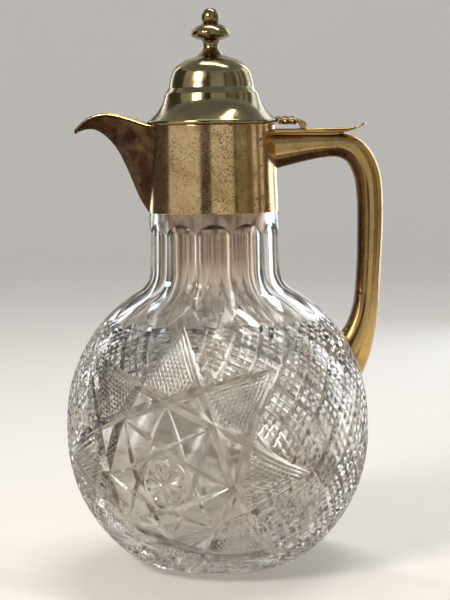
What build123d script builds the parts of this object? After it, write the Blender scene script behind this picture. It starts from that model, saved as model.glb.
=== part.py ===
from build123d import *
import os
from itertools import groupby
from math import acos, asin, atan2, cos, degrees, hypot, pi, radians, sin, sqrt, tanh

# A claret jug: a blown and cut glass body with a plated metal mount cemented on its neck.
# The mount is a collar with a soldered spout and handle, and a domed lid on a rear hinge.
# Millimetres. +Z is up, the jug stands on z = 0 and its axis is x = y = 0.
# The spout points along -X and the handle along +X.

# Glass: two half balls with a short straight band between them, and a flat foot.
GLOBE_R = 72.4
LOWER_CENTRE_Z = 64.3
FOOT_R = 24.0
FOOT_BLEND_R = 46.0
UPPER_CENTRE_Z = 70.4
NECK_R = 30.7
NECK_FOOT_R = 32.0
NECK_FILLET_R = 11.0
BORE_R = 25.1
BORE_FILLET_R = 18.0
GLOBE_WALL = 6.6
INNER_FLOOR_Z = 9.0
INNER_CENTRE_Z = 67.0
GLASS_STEP_Z = 170.0
GLASS_SEAT_R = 28.7
GLASS_RIM_Z = 187.5
GLASS_RIM_ROUND = 1.2

# Flutes: hollow cuts that run down the neck and out over the shoulder.
FLUTE_COUNT = 12
FLUTE_WHEEL_R = 40.6
FLUTE_NECK_R = 29.15
FLUTE_FOOT_R = 30.1
FLUTE_RUNOUT_Z = 158.6
FLUTE_RUNOUT_R = 14.0
FLUTE_RUNOUT_ANGLE = 42.0
FLUTE_BEND_R = 16.0
FLUTE_END = (53.2, 119.5)
FLUTE_END_SLOPE = 0.65
FLUTE_PAST_END = 9.5
FLUTE_TOOL_HEIGHT = 4.5

# Main cuts on the globe, V shaped: two eight-pointed stars, and a lattice over the rest.
# A place is (longitude from the front towards the handle, latitude), angles are in degrees
# seen from the globe's middle, and a flank is half width over depth.
STAR_PLACES = ((-19.4, -9.8), (160.6, -9.8))
STAR_TURN = 2.8
STAR_POINTS = 8
STAR_JOINS = 3
STAR_NOTCH = 32.5
STAR_FLANK = 1.15
STAR_PAST_TIP = 1.2
STAR_PAST_TIP_TURN = 0.5
STAR_TIP = 54.35
STAR_MIDDLE = 23.5
STAR_DEPTH = 2.6
INNER_STAR_TIP = 23.0
INNER_STAR_MIDDLE = 9.4
INNER_STAR_DEPTH = 1.4
LATTICE_PLACES = ((70.6, 0.0), (-109.4, 0.0))
LATTICE_LEANS = (40.5, 139.5)
LATTICE_PITCH = 12.5
LATTICE_LINES_EACH_SIDE = 8
LATTICE_REACH = 70.0
LATTICE_DEPTH = 1.8
LATTICE_END_DEPTH = 1.1
LATTICE_FLANK = 0.9
LATTICE_TOP = 44.5
LATTICE_BOTTOM = -62.0
LATTICE_SHORTEST = 8.0
LATTICE_STEPS = 720
BAND_SPREAD = 0.08
CUT_LIFT = 1.2

# Collar: a slightly conical sheet band with a seat ring inside its top edge.
COLLAR_FOOT_R = 31.0
COLLAR_TOP_R = 30.0
COLLAR_TOP_Z = 211.3
COLLAR_WALL = 0.8
SEAT_RING_Z = 206.6
SEAT_RING_WIDTH = 0.9
FLOOR_RING_THICK = 0.8
FLOOR_RING_CLEAR = 0.1
PLASTER_TOP_CLEAR = 0.4
MOUNT_FIT_LOW_Z = 150.0
MOUNT_FIT_HIGH_Z = 225.0

# Spout: stations from inside the collar to the tip, as
# (x, keel height, edge height, half width at the edge).
SPOUT_STATIONS = (
    (-22.0, 153.0, 211.0, 16.1),
    (-27.5, 164.0, 211.1, 13.9),
    (-31.3, 170.6, 211.7, 12.0),
    (-35.3, 177.5, 213.1, 10.4),
    (-40.7, 190.9, 214.9, 8.5),
    (-45.3, 200.2, 216.2, 7.1),
    (-50.5, 206.4, 216.8, 5.8),
    (-55.5, 209.6, 216.0, 4.6),
    (-60.2, 209.8, 213.8, 3.4),
    (-64.4, 208.5, 210.1, 2.2),
)
SPOUT_WALL = 0.8
SPOUT_KEEL_HALF = 2.4
SPOUT_KEEL_RISE = 0.4
SPOUT_BULGE = 0.05
SPOUT_HOLE_BOTTOM_Z = 176.0
SPOUT_HOLE_TOP_Z = 205.6
SPOUT_HOLE_WIDTH = 60.0
SPOUT_HOLE_REACH = 20.0
CHANNEL_LIFT = 4.0

# Handle: stations along its centre line, as
# (x, z, lean of the section from upright in degrees, depth, width).
HANDLE_STATIONS = (
    (26.0, 197.7, 0.0, 17.8, 14.6),
    (34.0, 198.65, 0.0, 15.7, 13.6),
    (44.0, 199.75, 0.0, 13.1, 12.2),
    (54.0, 200.5, 0.0, 11.2, 11.6),
    (61.8, 200.2, -14.0, 11.7, 11.6),
    (68.55, 196.2, -45.0, 12.5, 11.8),
    (73.1, 186.8, -78.0, 12.6, 11.8),
    (74.4, 174.0, -90.0, 12.4, 11.8),
    (74.2, 157.0, -91.5, 12.1, 11.8),
    (73.3, 139.4, -93.5, 11.6, 11.8),
    (72.0, 124.5, -100.0, 12.2, 12.0),
    (69.65, 113.7, -108.0, 14.2, 12.8),
    (65.6, 104.1, -113.0, 18.0, 14.0),
    (60.0, 92.4, -116.0, 20.0, 15.0),
)
HANDLE_WALL = 1.1
FOOT_CAP_GAP = 0.4
FOOT_CAP_THICK = 1.8

# Lid: dome, step, hollow flare and rim band. Heights are of the outer surface.
LID_TOP_Z = 243.0
LID_FLAT_R = 7.6
DOME_SHOULDER = (11.2, 242.2)
DOME_CORNER = (17.3, 238.2)
DOME_SIDE = (19.9, 231.1)
DOME_FOOT = (20.4, 228.6)
STEP_FOOT = (22.1, 226.2)
FLARE_MID = (24.6, 219.8)
FLARE_FOOT = (30.3, 213.5)
LID_WALL = 0.9
RIM_R = 31.0
RIM_BOTTOM_Z = 211.6
RIM_BORE_R = 28.3
LOCATING_R = 27.8
LOCATING_BORE_R = 26.9
LOCATING_BOTTOM_Z = 207.2
LOCATING_FLANGE_LOW_Z = 211.7
LOCATING_FLANGE_HIGH_Z = 213.3

# Finial: a stacked stem, knop and ball held by a stud and a nut inside the lid.
STEM_FOOT_R = 6.3
STEM_FOOT_BAND = 0.7
STEM_LOWER = (4.1, 245.8)
STEM_WAIST = (3.8, 247.6)
STEM_UPPER = (4.1, 249.6)
STEM_TOP = (6.0, 250.7)
KNOP_UNDER = (6.3, 250.7)
KNOP_LOWER = (8.6, 251.5)
KNOP_R = 9.5
KNOP_WIDEST_Z = 253.5
KNOP_UPPER = (8.1, 256.4)
KNOP_TOP = (3.6, 259.1)
BALL_R = 4.4
BALL_CENTRE_Z = 261.6
STUD_R = 1.5
STUD_BORE_CLEAR = 0.03
STUD_BOTTOM_Z = 238.2
STUD_TOP_Z = 261.5
STUD_END_GAP = 0.2
WASHER_R = 4.4
WASHER_THICK = 0.7
NUT_ACROSS_FLATS = 5.6
NUT_HEIGHT = 2.4

# Hinge: five knuckles on one pin, behind the lid.
HINGE_X = 42.9
HINGE_Z = 210.6
KNUCKLE_R = 1.6
PIN_R = 0.75
PIN_CLEAR = 0.04
KNUCKLE_LENGTH = 2.0
KNUCKLE_GAP = 0.12
KNUCKLE_COUNT = 5
PIN_HEAD_R = 1.2
PIN_HEAD_THICK = 0.5
BLOCK_HALF = 1.28
TAB_THICK = 1.0
TAB_FRONT_X = 25.0
TAB_BEND_X = 33.0
TAB_FRONT_HALF = 6.6
TAB_BACK_X = 40.9

# Leaf over the hinge: lobes as (x, height of the centre, radius, half width).
LEAF_LOBES = (
    (32.7, 212.8, 1.75, 5.6),
    (35.6, 213.2, 1.75, 5.8),
    (38.4, 213.0, 1.70, 5.2),
    (40.9, 212.4, 1.45, 4.2),
)

# Thumb rest: a flat strip along the top of the handle with a turned-up end.
REST_TOP_Z = 208.8
REST_THICK = 1.8
REST_FRONT_X = 28.0
REST_WAIST_X = 50.0
REST_FLARE_X = 68.5
REST_BEND_X = 63.5
REST_TIP = (72.6, 211.4)
REST_TIP_LOW = (73.5, 210.3)
REST_HALF = 5.0
REST_WAIST_HALF = 4.2
REST_TIP_HALF = 6.4
REST_RIB_HALF = 2.4
REST_RIB_DEPTH = 2.5
RIVET_X = 61.0
RIVET_R = 1.6
RIVET_FOOT_R = 2.0
RIVET_FOOT_Z = 203.5


def ring(*points):
    """A solid ring turned about the jug's axis from the corners of its section."""
    return revolve(Plane.XZ * make_face(Polyline(*points, close=True)), Axis.Z)


def turned(outline):
    """A solid turned about the jug's axis from a closed outline of lines and arcs."""
    return revolve(Plane.XZ * make_face(outline), Axis.Z)


def collar_radius(z):
    """Outer radius of the conical collar at a height."""
    share = (z - GLASS_STEP_Z) / (COLLAR_TOP_Z - GLASS_STEP_Z)
    return COLLAR_FOOT_R + share * (COLLAR_TOP_R - COLLAR_FOOT_R)


def cone_corners(low_z, high_z, inset):
    """The two corners of the collar's cone, moved in by inset, at two heights."""
    return (collar_radius(low_z) - inset, low_z), (collar_radius(high_z) - inset, high_z)


def tangent_fillet(ball_r, ball_z, neck_r, fillet_r):
    """Arc between a ball and a neck: its centre, and the angle where it meets the ball."""
    reach = sqrt((ball_r + fillet_r) ** 2 - (neck_r + fillet_r) ** 2)
    centre = (neck_r + fillet_r, ball_z + reach)
    return centre, 180.0 + degrees(atan2(reach, neck_r + fillet_r))


def ball_to_neck(ball_r, ball_z, neck_r, fillet_r):
    """The ball's upper arc and the fillet that carries it into the neck."""
    centre, meet = tangent_fillet(ball_r, ball_z, neck_r, fillet_r)
    ball = CenterArc((0, ball_z), ball_r, 0, meet - 180.0)
    fillet = CenterArc(centre, fillet_r, 180.0, meet - 180.0)
    return ball + fillet, centre[1]


def glass_outside():
    """The glass before it is cut, as if it were solid."""
    drop = sqrt(GLOBE_R**2 - FOOT_BLEND_R**2)
    blend = (FOOT_BLEND_R, LOWER_CENTRE_Z - drop)
    blend_angle = degrees(acos(FOOT_BLEND_R / GLOBE_R))
    shoulder, neck_z = ball_to_neck(GLOBE_R, UPPER_CENTRE_Z, NECK_FOOT_R, NECK_FILLET_R)
    outline = Line((0, 0), (FOOT_R, 0))
    outline += TangentArc(blend, (FOOT_R, 0), tangent=(-drop, -FOOT_BLEND_R))
    outline += CenterArc((0, LOWER_CENTRE_Z), GLOBE_R, -blend_angle, blend_angle)
    outline += Line((GLOBE_R, LOWER_CENTRE_Z), (GLOBE_R, UPPER_CENTRE_Z))
    outline += shoulder
    outline += Polyline(
        (NECK_FOOT_R, neck_z),
        (NECK_R, GLASS_STEP_Z),
        (GLASS_SEAT_R, GLASS_STEP_Z),
        (GLASS_SEAT_R, GLASS_RIM_Z - GLASS_RIM_ROUND),
        (GLASS_SEAT_R - GLASS_RIM_ROUND, GLASS_RIM_Z),
        (0, GLASS_RIM_Z),
        (0, 0),
    )
    return turned(outline)


def glass_inside():
    """The space for the wine: a ball with a flatter bottom, running into a straight bore."""
    inner_r = GLOBE_R - GLOBE_WALL
    depth = INNER_CENTRE_Z - INNER_FLOOR_Z
    shoulder, bore_z = ball_to_neck(inner_r, UPPER_CENTRE_Z, BORE_R, BORE_FILLET_R)
    above = GLASS_RIM_Z + 1.0
    outline = EllipticalCenterArc((0, INNER_CENTRE_Z), inner_r, depth, -90, arc_size=90)
    outline += Line((inner_r, INNER_CENTRE_Z), (inner_r, UPPER_CENTRE_Z))
    outline += shoulder
    outline += Polyline((BORE_R, bore_z), (BORE_R, above), (0, above), (0, INNER_FLOOR_Z))
    return turned(outline)


def flute_cutter():
    """One flute's tool: a shallow arc section carried down the neck and out over the shoulder."""
    start = radians(180.0 - FLUTE_RUNOUT_ANGLE)
    centre_r = FLUTE_NECK_R + FLUTE_RUNOUT_R
    top = (centre_r + FLUTE_RUNOUT_R * cos(start), FLUTE_RUNOUT_Z + FLUTE_RUNOUT_R * sin(start))
    end_r = FLUTE_END[0] + FLUTE_PAST_END
    end = (end_r, FLUTE_END[1] - FLUTE_END_SLOPE * FLUTE_PAST_END)
    bend = (FLUTE_FOOT_R, FLUTE_END[1] + FLUTE_END_SLOPE * (FLUTE_END[0] - FLUTE_FOOT_R))
    path = CenterArc((centre_r, FLUTE_RUNOUT_Z), FLUTE_RUNOUT_R,
                     180.0 - FLUTE_RUNOUT_ANGLE, FLUTE_RUNOUT_ANGLE)
    path += FilletPolyline((FLUTE_NECK_R, FLUTE_RUNOUT_Z), bend, end, radius=FLUTE_BEND_R)
    path = Plane.XZ * path

    half = sqrt(2 * FLUTE_WHEEL_R * FLUTE_TOOL_HEIGHT - FLUTE_TOOL_HEIGHT**2)
    section = ThreePointArc((-half, FLUTE_TOOL_HEIGHT), (0, 0), (half, FLUTE_TOOL_HEIGHT))
    section += Line((half, FLUTE_TOOL_HEIGHT), (-half, FLUTE_TOOL_HEIGHT))
    outward = Vector(-cos(start), 0, -sin(start))
    place = Plane(origin=(top[0], 0, top[1]), x_dir=(0, 1, 0), z_dir=Vector(0, 1, 0).cross(outward))
    return sweep(place * make_face(section), path=path)


def foot_blend():
    """Where the foot's arc meets the lower ball, and the arc's centre and radius."""
    drop = sqrt(GLOBE_R**2 - FOOT_BLEND_R**2)
    start_z = LOWER_CENTRE_Z - drop
    across = FOOT_R - FOOT_BLEND_R
    inward = (start_z * -drop - across * FOOT_BLEND_R) / GLOBE_R
    radius = (across**2 + start_z**2) / (2 * inward)
    return (FOOT_BLEND_R * (1 - radius / GLOBE_R), start_z + radius * drop / GLOBE_R), radius


def surface_point(outward, depth):
    """The point at a depth under the globe's surface where that surface faces outward."""
    level = hypot(outward.X, outward.Y)
    if outward.Z < -sqrt(1 - (FOOT_BLEND_R / GLOBE_R) ** 2):
        (centre_r, centre_z), radius = foot_blend()
    else:
        half_band = (UPPER_CENTRE_Z - LOWER_CENTRE_Z) / 2
        shift = half_band * tanh(outward.Z / BAND_SPREAD)
        centre_r, centre_z, radius = 0.0, LOWER_CENTRE_Z + half_band + shift, GLOBE_R
    r = centre_r + (radius - depth) * level
    return Vector(outward.X / level * r, outward.Y / level * r, centre_z + (radius - depth) * outward.Z)


def heading(place):
    """Directions out of the globe, east and north at a place."""
    longitude, latitude = radians(place[0]), radians(place[1])
    outward = Vector(sin(longitude) * cos(latitude), -cos(longitude) * cos(latitude), sin(latitude))
    east = Vector(cos(longitude), sin(longitude), 0)
    return outward, east, outward.cross(east)


def away_from(place, angle, bearing):
    """The direction at an angle from a place, on a bearing clockwise from north."""
    outward, east, north = heading(place)
    turn = radians(bearing)
    side = east * sin(turn) + north * cos(turn)
    return outward * cos(radians(angle)) + side * sin(radians(angle))


def seen_from(place, outward):
    """The angle and bearing of a direction from a place."""
    ahead, east, north = [outward.dot(axis) for axis in heading(place)]
    return degrees(atan2(hypot(east, north), ahead)), degrees(atan2(east, north))


def circle_through(first, middle, last):
    """Centre and axis of the circle through three points."""
    a, b = middle - first, last - first
    axis = a.cross(b)
    reach = axis.cross(a) * b.dot(b) + b.cross(axis) * a.dot(a)
    return first + reach / (2 * axis.dot(axis)), axis.normalized()


def mitre_cutter(ends, middle, end_depth, depth, flank):
    """A V-edged ring's tool, from one end through the middle to the other end."""
    start, finish = [surface_point(end, end_depth) for end in ends]
    floor = surface_point(middle, depth)
    centre, axis = circle_through(start, floor, finish)
    ahead = axis.cross(floor - centre).normalized()
    outward = (middle - ahead * middle.dot(ahead)).normalized()
    height = depth + CUT_LIFT
    side = ahead.cross(outward) * flank * height
    top = floor + outward * height
    section = make_face(Polyline(floor, top + side, top - side, close=True))
    turns = [degrees(atan2((p - centre).dot(ahead), (p - centre).dot((floor - centre).normalized())))
             for p in (start, finish)]
    turn_axis = Axis(centre, axis)
    return revolve(section.rotate(turn_axis, min(turns)), turn_axis, max(turns) - min(turns))


def star_cutters(place, tip, middle, depth):
    """The long cuts of a star by pairs that don't cross, each from a point to the third round."""
    pitch = 360.0 / STAR_POINTS
    span = STAR_JOINS * pitch
    pairs = []
    for first in range(STAR_POINTS // 2):
        pair = []
        for index in (first, first + STAR_POINTS // 2):
            start = STAR_TURN + index * pitch
            ends = [away_from(place, tip + STAR_PAST_TIP, bearing) for bearing in
                    (start - STAR_PAST_TIP_TURN, start + span + STAR_PAST_TIP_TURN)]
            crown = away_from(place, middle, start + span / 2)
            pair.append(mitre_cutter(ends, crown, 0.0, depth, STAR_FLANK))
        pairs.append(pair)
    return pairs


def inside_star(place, outward):
    """Whether a direction is within the outline of the star at a place."""
    angle, bearing = seen_from(place, outward)
    pitch = 360.0 / STAR_POINTS
    turn = (bearing - STAR_TURN) % pitch
    turn = radians(min(turn, pitch - turn))
    notch_x = STAR_NOTCH * sin(radians(pitch / 2))
    notch_y = STAR_NOTCH * cos(radians(pitch / 2))
    across = notch_x * (angle * cos(turn) - STAR_TIP)
    return across < (notch_y - STAR_TIP) * angle * sin(turn)


def lattice_clear(place, outward):
    """Whether the lattice about a place covers a direction."""
    level = heading((place[0], 0.0))[0]
    latitude = degrees(asin(max(-1.0, min(1.0, outward.Z))))
    if outward.dot(level) < 0 or not LATTICE_BOTTOM < latitude < LATTICE_TOP:
        return False
    return not any(inside_star(star, outward) for star in STAR_PLACES)


def lattice_line(place, lean, offset):
    """Directions all round the circle that a lattice line lies on, from behind the globe."""
    turn = radians(lean)
    trio = []
    for along in (-LATTICE_REACH, 0.0, LATTICE_REACH):
        x = sin(turn) * along + cos(turn) * offset
        y = cos(turn) * along - sin(turn) * offset
        trio.append(away_from(place, degrees(hypot(x, y) / GLOBE_R), degrees(atan2(x, y))))
    centre, axis = circle_through(*trio)
    ahead = trio[1] - centre
    side = axis.cross(ahead)
    angles = [2 * pi * step / LATTICE_STEPS - pi for step in range(LATTICE_STEPS)]
    return [centre + ahead * cos(angle) + side * sin(angle) for angle in angles]


def lattice_cutters(place, lean):
    """One family of parallel lattice cuts, broken where a star lies across them."""
    cutters = []
    for number in range(-LATTICE_LINES_EACH_SIDE, LATTICE_LINES_EACH_SIDE + 1):
        line = lattice_line(place, lean, number * LATTICE_PITCH)
        for clear, stretch in groupby(line, key=lambda outward: lattice_clear(place, outward)):
            run = list(stretch)
            length = sum((b - a).length for a, b in zip(run, run[1:])) * GLOBE_R
            if clear and length > LATTICE_SHORTEST:
                cutters.append(mitre_cutter((run[0], run[-1]), run[len(run) // 2],
                                            LATTICE_END_DEPTH, LATTICE_DEPTH, LATTICE_FLANK))
    return cutters


def glass_body():
    """The cut blank: outside less the inside, with flutes round the neck and cuts on the globe."""
    body = glass_outside() - glass_inside()
    cutter = flute_cutter()
    for turn in range(FLUTE_COUNT):
        body -= Rot(0, 0, turn * 360.0 / FLUTE_COUNT) * cutter
    for place in STAR_PLACES:
        for pair in star_cutters(place, STAR_TIP, STAR_MIDDLE, STAR_DEPTH):
            body -= pair
        for pair in star_cutters(place, INNER_STAR_TIP, INNER_STAR_MIDDLE, INNER_STAR_DEPTH):
            body -= pair
    for place in LATTICE_PLACES:
        for lean in LATTICE_LEANS:
            body -= lattice_cutters(place, lean)
    return body


def neck_plaster():
    """The plaster that fills the gap between the glass neck and the collar."""
    top = GLASS_RIM_Z - PLASTER_TOP_CLEAR
    low, high = cone_corners(GLASS_STEP_Z, top, COLLAR_WALL)
    return ring((GLASS_SEAT_R, GLASS_STEP_Z), low, high, (GLASS_SEAT_R, top))


def collar_core():
    """Everything inside the collar's outer surface, carried on past both its edges."""
    low, high = cone_corners(MOUNT_FIT_LOW_Z, MOUNT_FIT_HIGH_Z, 0.0)
    return ring((0, MOUNT_FIT_LOW_Z), low, high, (0, MOUNT_FIT_HIGH_Z))


def collar_band(channel):
    """The sheet band, pierced where the spout's channel meets it."""
    outer_low, outer_high = cone_corners(GLASS_STEP_Z, COLLAR_TOP_Z, 0.0)
    inner_low, inner_high = cone_corners(GLASS_STEP_Z, COLLAR_TOP_Z, COLLAR_WALL)
    band = ring(inner_low, outer_low, outer_high, inner_high)
    height = SPOUT_HOLE_TOP_Z - SPOUT_HOLE_BOTTOM_Z
    window = Pos(-COLLAR_FOOT_R, 0, SPOUT_HOLE_BOTTOM_Z + height / 2) * Box(
        SPOUT_HOLE_REACH, SPOUT_HOLE_WIDTH, height)
    return band - (channel & window)


def collar_seat_ring():
    """The strip soldered inside the top edge, which the lid closes on."""
    low, high = cone_corners(SEAT_RING_Z, COLLAR_TOP_Z, COLLAR_WALL)
    inside_r = high[0] - SEAT_RING_WIDTH
    return ring((inside_r, SEAT_RING_Z), low, high, (inside_r, COLLAR_TOP_Z))


def collar_floor_ring():
    """The flat ring inside the collar that covers the plaster and the rim of the glass."""
    top = GLASS_RIM_Z + FLOOR_RING_THICK
    low, high = cone_corners(GLASS_RIM_Z, top, COLLAR_WALL + FLOOR_RING_CLEAR)
    return ring((BORE_R, GLASS_RIM_Z), low, high, (BORE_R, top))


def spout_section(x, keel_z, edge_z, half, inset):
    """One upright section: a rounded keel, two slightly bulging sides and a flat top."""
    keel_z += inset
    half -= inset
    keel_half = min(SPOUT_KEEL_HALF, 0.5 * half)
    rise = min(SPOUT_KEEL_RISE * keel_half, 0.3 * (edge_z - keel_z))
    low_right = (keel_half, keel_z + rise)
    low_left = (-keel_half, keel_z + rise)
    across, up = half - keel_half, edge_z - keel_z - rise
    mid_x = keel_half + across / 2 + SPOUT_BULGE * up
    mid_z = keel_z + rise + up / 2 - SPOUT_BULGE * across
    outline = ThreePointArc(low_left, (0, keel_z), low_right)
    outline += ThreePointArc(low_right, (mid_x, mid_z), (half, edge_z))
    outline += Line((half, edge_z), (-half, edge_z))
    outline += ThreePointArc((-half, edge_z), (-mid_x, mid_z), low_left)
    return Plane(origin=(x, 0, 0), x_dir=(0, 1, 0), z_dir=(1, 0, 0)) * make_face(outline)


def spout_solid(inset, lift):
    """The spout as a solid beak, or with an inset its channel, open upwards by the lift."""
    return loft([spout_section(x, keel, edge + lift, half, inset)
                 for x, keel, edge, half in SPOUT_STATIONS])


def spout_shell(beak, channel):
    """The raised sheet spout, fitted to the outside of the collar."""
    return beak - channel - collar_core()


def handle_section(station, inset):
    """An oval across the handle's centre line."""
    x, z, lean, depth, width = station
    along = (cos(radians(lean)), 0, sin(radians(lean)))
    place = Plane(origin=(x, 0, z), x_dir=(0, 1, 0), z_dir=along)
    return place * Ellipse(width / 2 - inset, depth / 2 - inset)


def handle_solid(inset):
    """The handle's outer shape, or with an inset its hollow."""
    return loft([handle_section(station, inset) for station in HANDLE_STATIONS])


def globe_shape(gap):
    """The globe's upper ball, grown by a gap."""
    return Pos(0, 0, UPPER_CENTRE_Z) * Sphere(GLOBE_R + gap)


def handle_tube(outer, inner):
    """The hollow handle, soldered to the collar and cut below to sit over the globe."""
    return outer - inner - collar_core() - globe_shape(FOOT_CAP_GAP + FOOT_CAP_THICK)


def handle_foot_cap(outer):
    """The dished plate that closes the handle's lower end and rests against the glass."""
    shell = globe_shape(FOOT_CAP_GAP + FOOT_CAP_THICK) - globe_shape(FOOT_CAP_GAP)
    cap = outer & shell
    return cap.solids().sort_by(Axis.X)[-1]


def thumb_rest_side():
    """The strip's outline seen from the side: straight, then curving up to a sloping end."""
    low_z = REST_TOP_Z - REST_THICK
    bend, low_bend = (REST_BEND_X, REST_TOP_Z), (REST_BEND_X, low_z)
    side = Line((REST_FRONT_X, REST_TOP_Z), bend)
    side += TangentArc(bend, REST_TIP, tangent=(1, 0))
    side += Line(REST_TIP, REST_TIP_LOW)
    side += TangentArc(low_bend, REST_TIP_LOW, tangent=(1, 0))
    side += Polyline(low_bend, (REST_FRONT_X, low_z), (REST_FRONT_X, REST_TOP_Z))
    return make_face(side)


def thumb_rest_plan():
    """The strip's outline seen from above: waisted, with a wide rounded end."""
    front, waist = (REST_FRONT_X, REST_HALF), (REST_WAIST_X, REST_WAIST_HALF)
    flare = (REST_FLARE_X, REST_TIP_HALF)
    front_far, waist_far, flare_far = [(x, -y) for x, y in (front, waist, flare)]
    plan = Spline(front, waist, flare)
    plan += ThreePointArc(flare, (REST_TIP_LOW[0], 0), flare_far)
    plan += Spline(flare_far, waist_far, front_far)
    plan += Line(front_far, front)
    return make_face(plan)


def thumb_rest(handle_outer):
    """The strip along the arm, with a narrower rib below it that stands on the arm."""
    low_z = REST_TOP_Z - REST_THICK
    strip = extrude(Plane.XZ * thumb_rest_side(), 2 * REST_TIP_HALF, both=True)
    strip &= extrude(Pos(0, 0, low_z) * thumb_rest_plan(), MOUNT_FIT_HIGH_Z - low_z)
    rib = Pos((REST_FRONT_X + REST_BEND_X) / 2, 0, low_z - REST_RIB_DEPTH / 2) * Box(
        REST_BEND_X - REST_FRONT_X, 2 * REST_RIB_HALF, REST_RIB_DEPTH)
    return strip + (rib - handle_outer) - collar_core()


def rivet_rod(high_z):
    """An upright rod at the rivet's place, up to a height."""
    return extrude(Pos(RIVET_X, 0, RIVET_FOOT_Z) * Circle(RIVET_R), high_z - RIVET_FOOT_Z)


def thumb_rest_rivet():
    """The rivet that fixes the strip to the arm, flush on top and spread inside the tube."""
    return rivet_rod(REST_TOP_Z) + Pos(RIVET_X, 0, RIVET_FOOT_Z) * Sphere(RIVET_FOOT_R)


def knuckle_start(index):
    """The -Y end of a knuckle."""
    pitch = KNUCKLE_LENGTH + KNUCKLE_GAP
    return -(KNUCKLE_COUNT * pitch - KNUCKLE_GAP) / 2 + index * pitch


def knuckle_row(first):
    """Every second knuckle from the first, as tubes on the hinge's axis."""
    tubes = []
    for index in range(first, KNUCKLE_COUNT, 2):
        place = Plane(origin=(HINGE_X, knuckle_start(index), HINGE_Z), z_dir=(0, 1, 0))
        section = Circle(KNUCKLE_R) - Circle(PIN_R + PIN_CLEAR)
        tubes.append(extrude(place * section, KNUCKLE_LENGTH))
    return tubes


def knuckle_bore():
    """The clear space along the hinge's axis, wider than the pin."""
    reach = 2 * knuckle_start(0)
    place = Plane(origin=(HINGE_X, reach, HINGE_Z), z_dir=(0, 1, 0))
    return extrude(place * Circle((PIN_R + KNUCKLE_R) / 2), -2 * reach)


def hinge_knuckles_fixed():
    """The two knuckles of the thumb rest, each with the block that carries it."""
    pieces = []
    for index, tube in zip(range(1, KNUCKLE_COUNT, 2), knuckle_row(1)):
        height = HINGE_Z - REST_TOP_Z
        middle = knuckle_start(index) + KNUCKLE_LENGTH / 2
        block = Pos(HINGE_X, middle, REST_TOP_Z + height / 2) * Box(
            2 * BLOCK_HALF, KNUCKLE_LENGTH, height)
        pieces.append(tube + (block - knuckle_bore()))
    return Compound(children=pieces)


def hinge_knuckles_lid():
    """The three knuckles of the lid, each with the finger that reaches the tab."""
    pieces = []
    tab_top = RIM_BOTTOM_Z + TAB_THICK
    for index, tube in zip(range(0, KNUCKLE_COUNT, 2), knuckle_row(0)):
        middle = knuckle_start(index) + KNUCKLE_LENGTH / 2
        finger = Pos((TAB_BACK_X + HINGE_X) / 2, middle, (HINGE_Z + tab_top) / 2) * Box(
            HINGE_X - TAB_BACK_X, KNUCKLE_LENGTH, tab_top - HINGE_Z)
        pieces.append(tube + (finger - knuckle_bore()))
    return Compound(children=pieces)


def hinge_pin():
    """The pin, with a spread head at each end."""
    start = knuckle_start(0) - KNUCKLE_GAP
    length = -2 * start
    place = Plane(origin=(HINGE_X, start, HINGE_Z), z_dir=(0, 1, 0))
    far = Plane(origin=(HINGE_X, -start, HINGE_Z), z_dir=(0, 1, 0))
    pin = extrude(place * Circle(PIN_R), length)
    pin += extrude(place * Circle(PIN_HEAD_R), -PIN_HEAD_THICK)
    pin += extrude(far * Circle(PIN_HEAD_R), PIN_HEAD_THICK)
    return pin


def lid_outline(inset):
    """The lid's outer line from the flat top to the rim, or with an inset its inner line."""
    def moved(point, down, inward):
        return (point[0] - inward * inset, point[1] - down * inset)

    top = (LID_FLAT_R, LID_TOP_Z - inset)
    shoulder = moved(DOME_SHOULDER, 0.98, 0.2)
    side = moved(DOME_SIDE, 0.1, 1.0)
    foot = moved(DOME_FOOT, 0.1, 1.0)
    step = moved(STEP_FOOT, 0.2, 1.0)
    rim = (FLARE_FOOT[0] - 1.2 * inset, FLARE_FOOT[1])
    line = Line((0, top[1]), top) + Line(top, shoulder)
    line += ThreePointArc(shoulder, moved(DOME_CORNER, 0.7, 0.7), side)
    line += Polyline(side, foot, step)
    line += ThreePointArc(step, moved(FLARE_MID, 0.35, 0.9), rim)
    return line, rim


def lid_solid(inset):
    """Everything under the lid's outer or inner surface, down to the rim band."""
    line, rim = lid_outline(inset)
    top_z = LID_TOP_Z - inset
    return turned(line + Polyline(rim, (0, rim[1]), (0, top_z)))


def stud_hole(clear):
    """An upright rod on the jug's axis, a little wider than the finial's stud."""
    low_z, high_z = STUD_BOTTOM_Z - clear, STUD_TOP_Z + STUD_END_GAP
    return extrude(Pos(0, 0, low_z) * Circle(STUD_R + clear), high_z - low_z)


def lid_shell():
    """The spun sheet lid, pierced on top for the stud."""
    return lid_solid(0.0) - lid_solid(LID_WALL) - stud_hole(STUD_BORE_CLEAR)


def lid_rim_band():
    """The half-round moulding under the lid's edge."""
    top = FLARE_FOOT[1]
    flat = RIM_R - 0.5
    outline = Polyline((flat, top), (RIM_BORE_R, top), (RIM_BORE_R, RIM_BOTTOM_Z),
                       (flat, RIM_BOTTOM_Z))
    outline += ThreePointArc((flat, RIM_BOTTOM_Z), (RIM_R, (top + RIM_BOTTOM_Z) / 2), (flat, top))
    return turned(outline)


def lid_locating_ring():
    """The ring inside the lid that drops into the collar and centres it."""
    return ring(
        (LOCATING_BORE_R, LOCATING_BOTTOM_Z),
        (LOCATING_R, LOCATING_BOTTOM_Z),
        (LOCATING_R, LOCATING_FLANGE_LOW_Z),
        (RIM_BORE_R, LOCATING_FLANGE_LOW_Z),
        (RIM_BORE_R, LOCATING_FLANGE_HIGH_Z),
        (LOCATING_BORE_R, LOCATING_FLANGE_HIGH_Z),
    )


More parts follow.
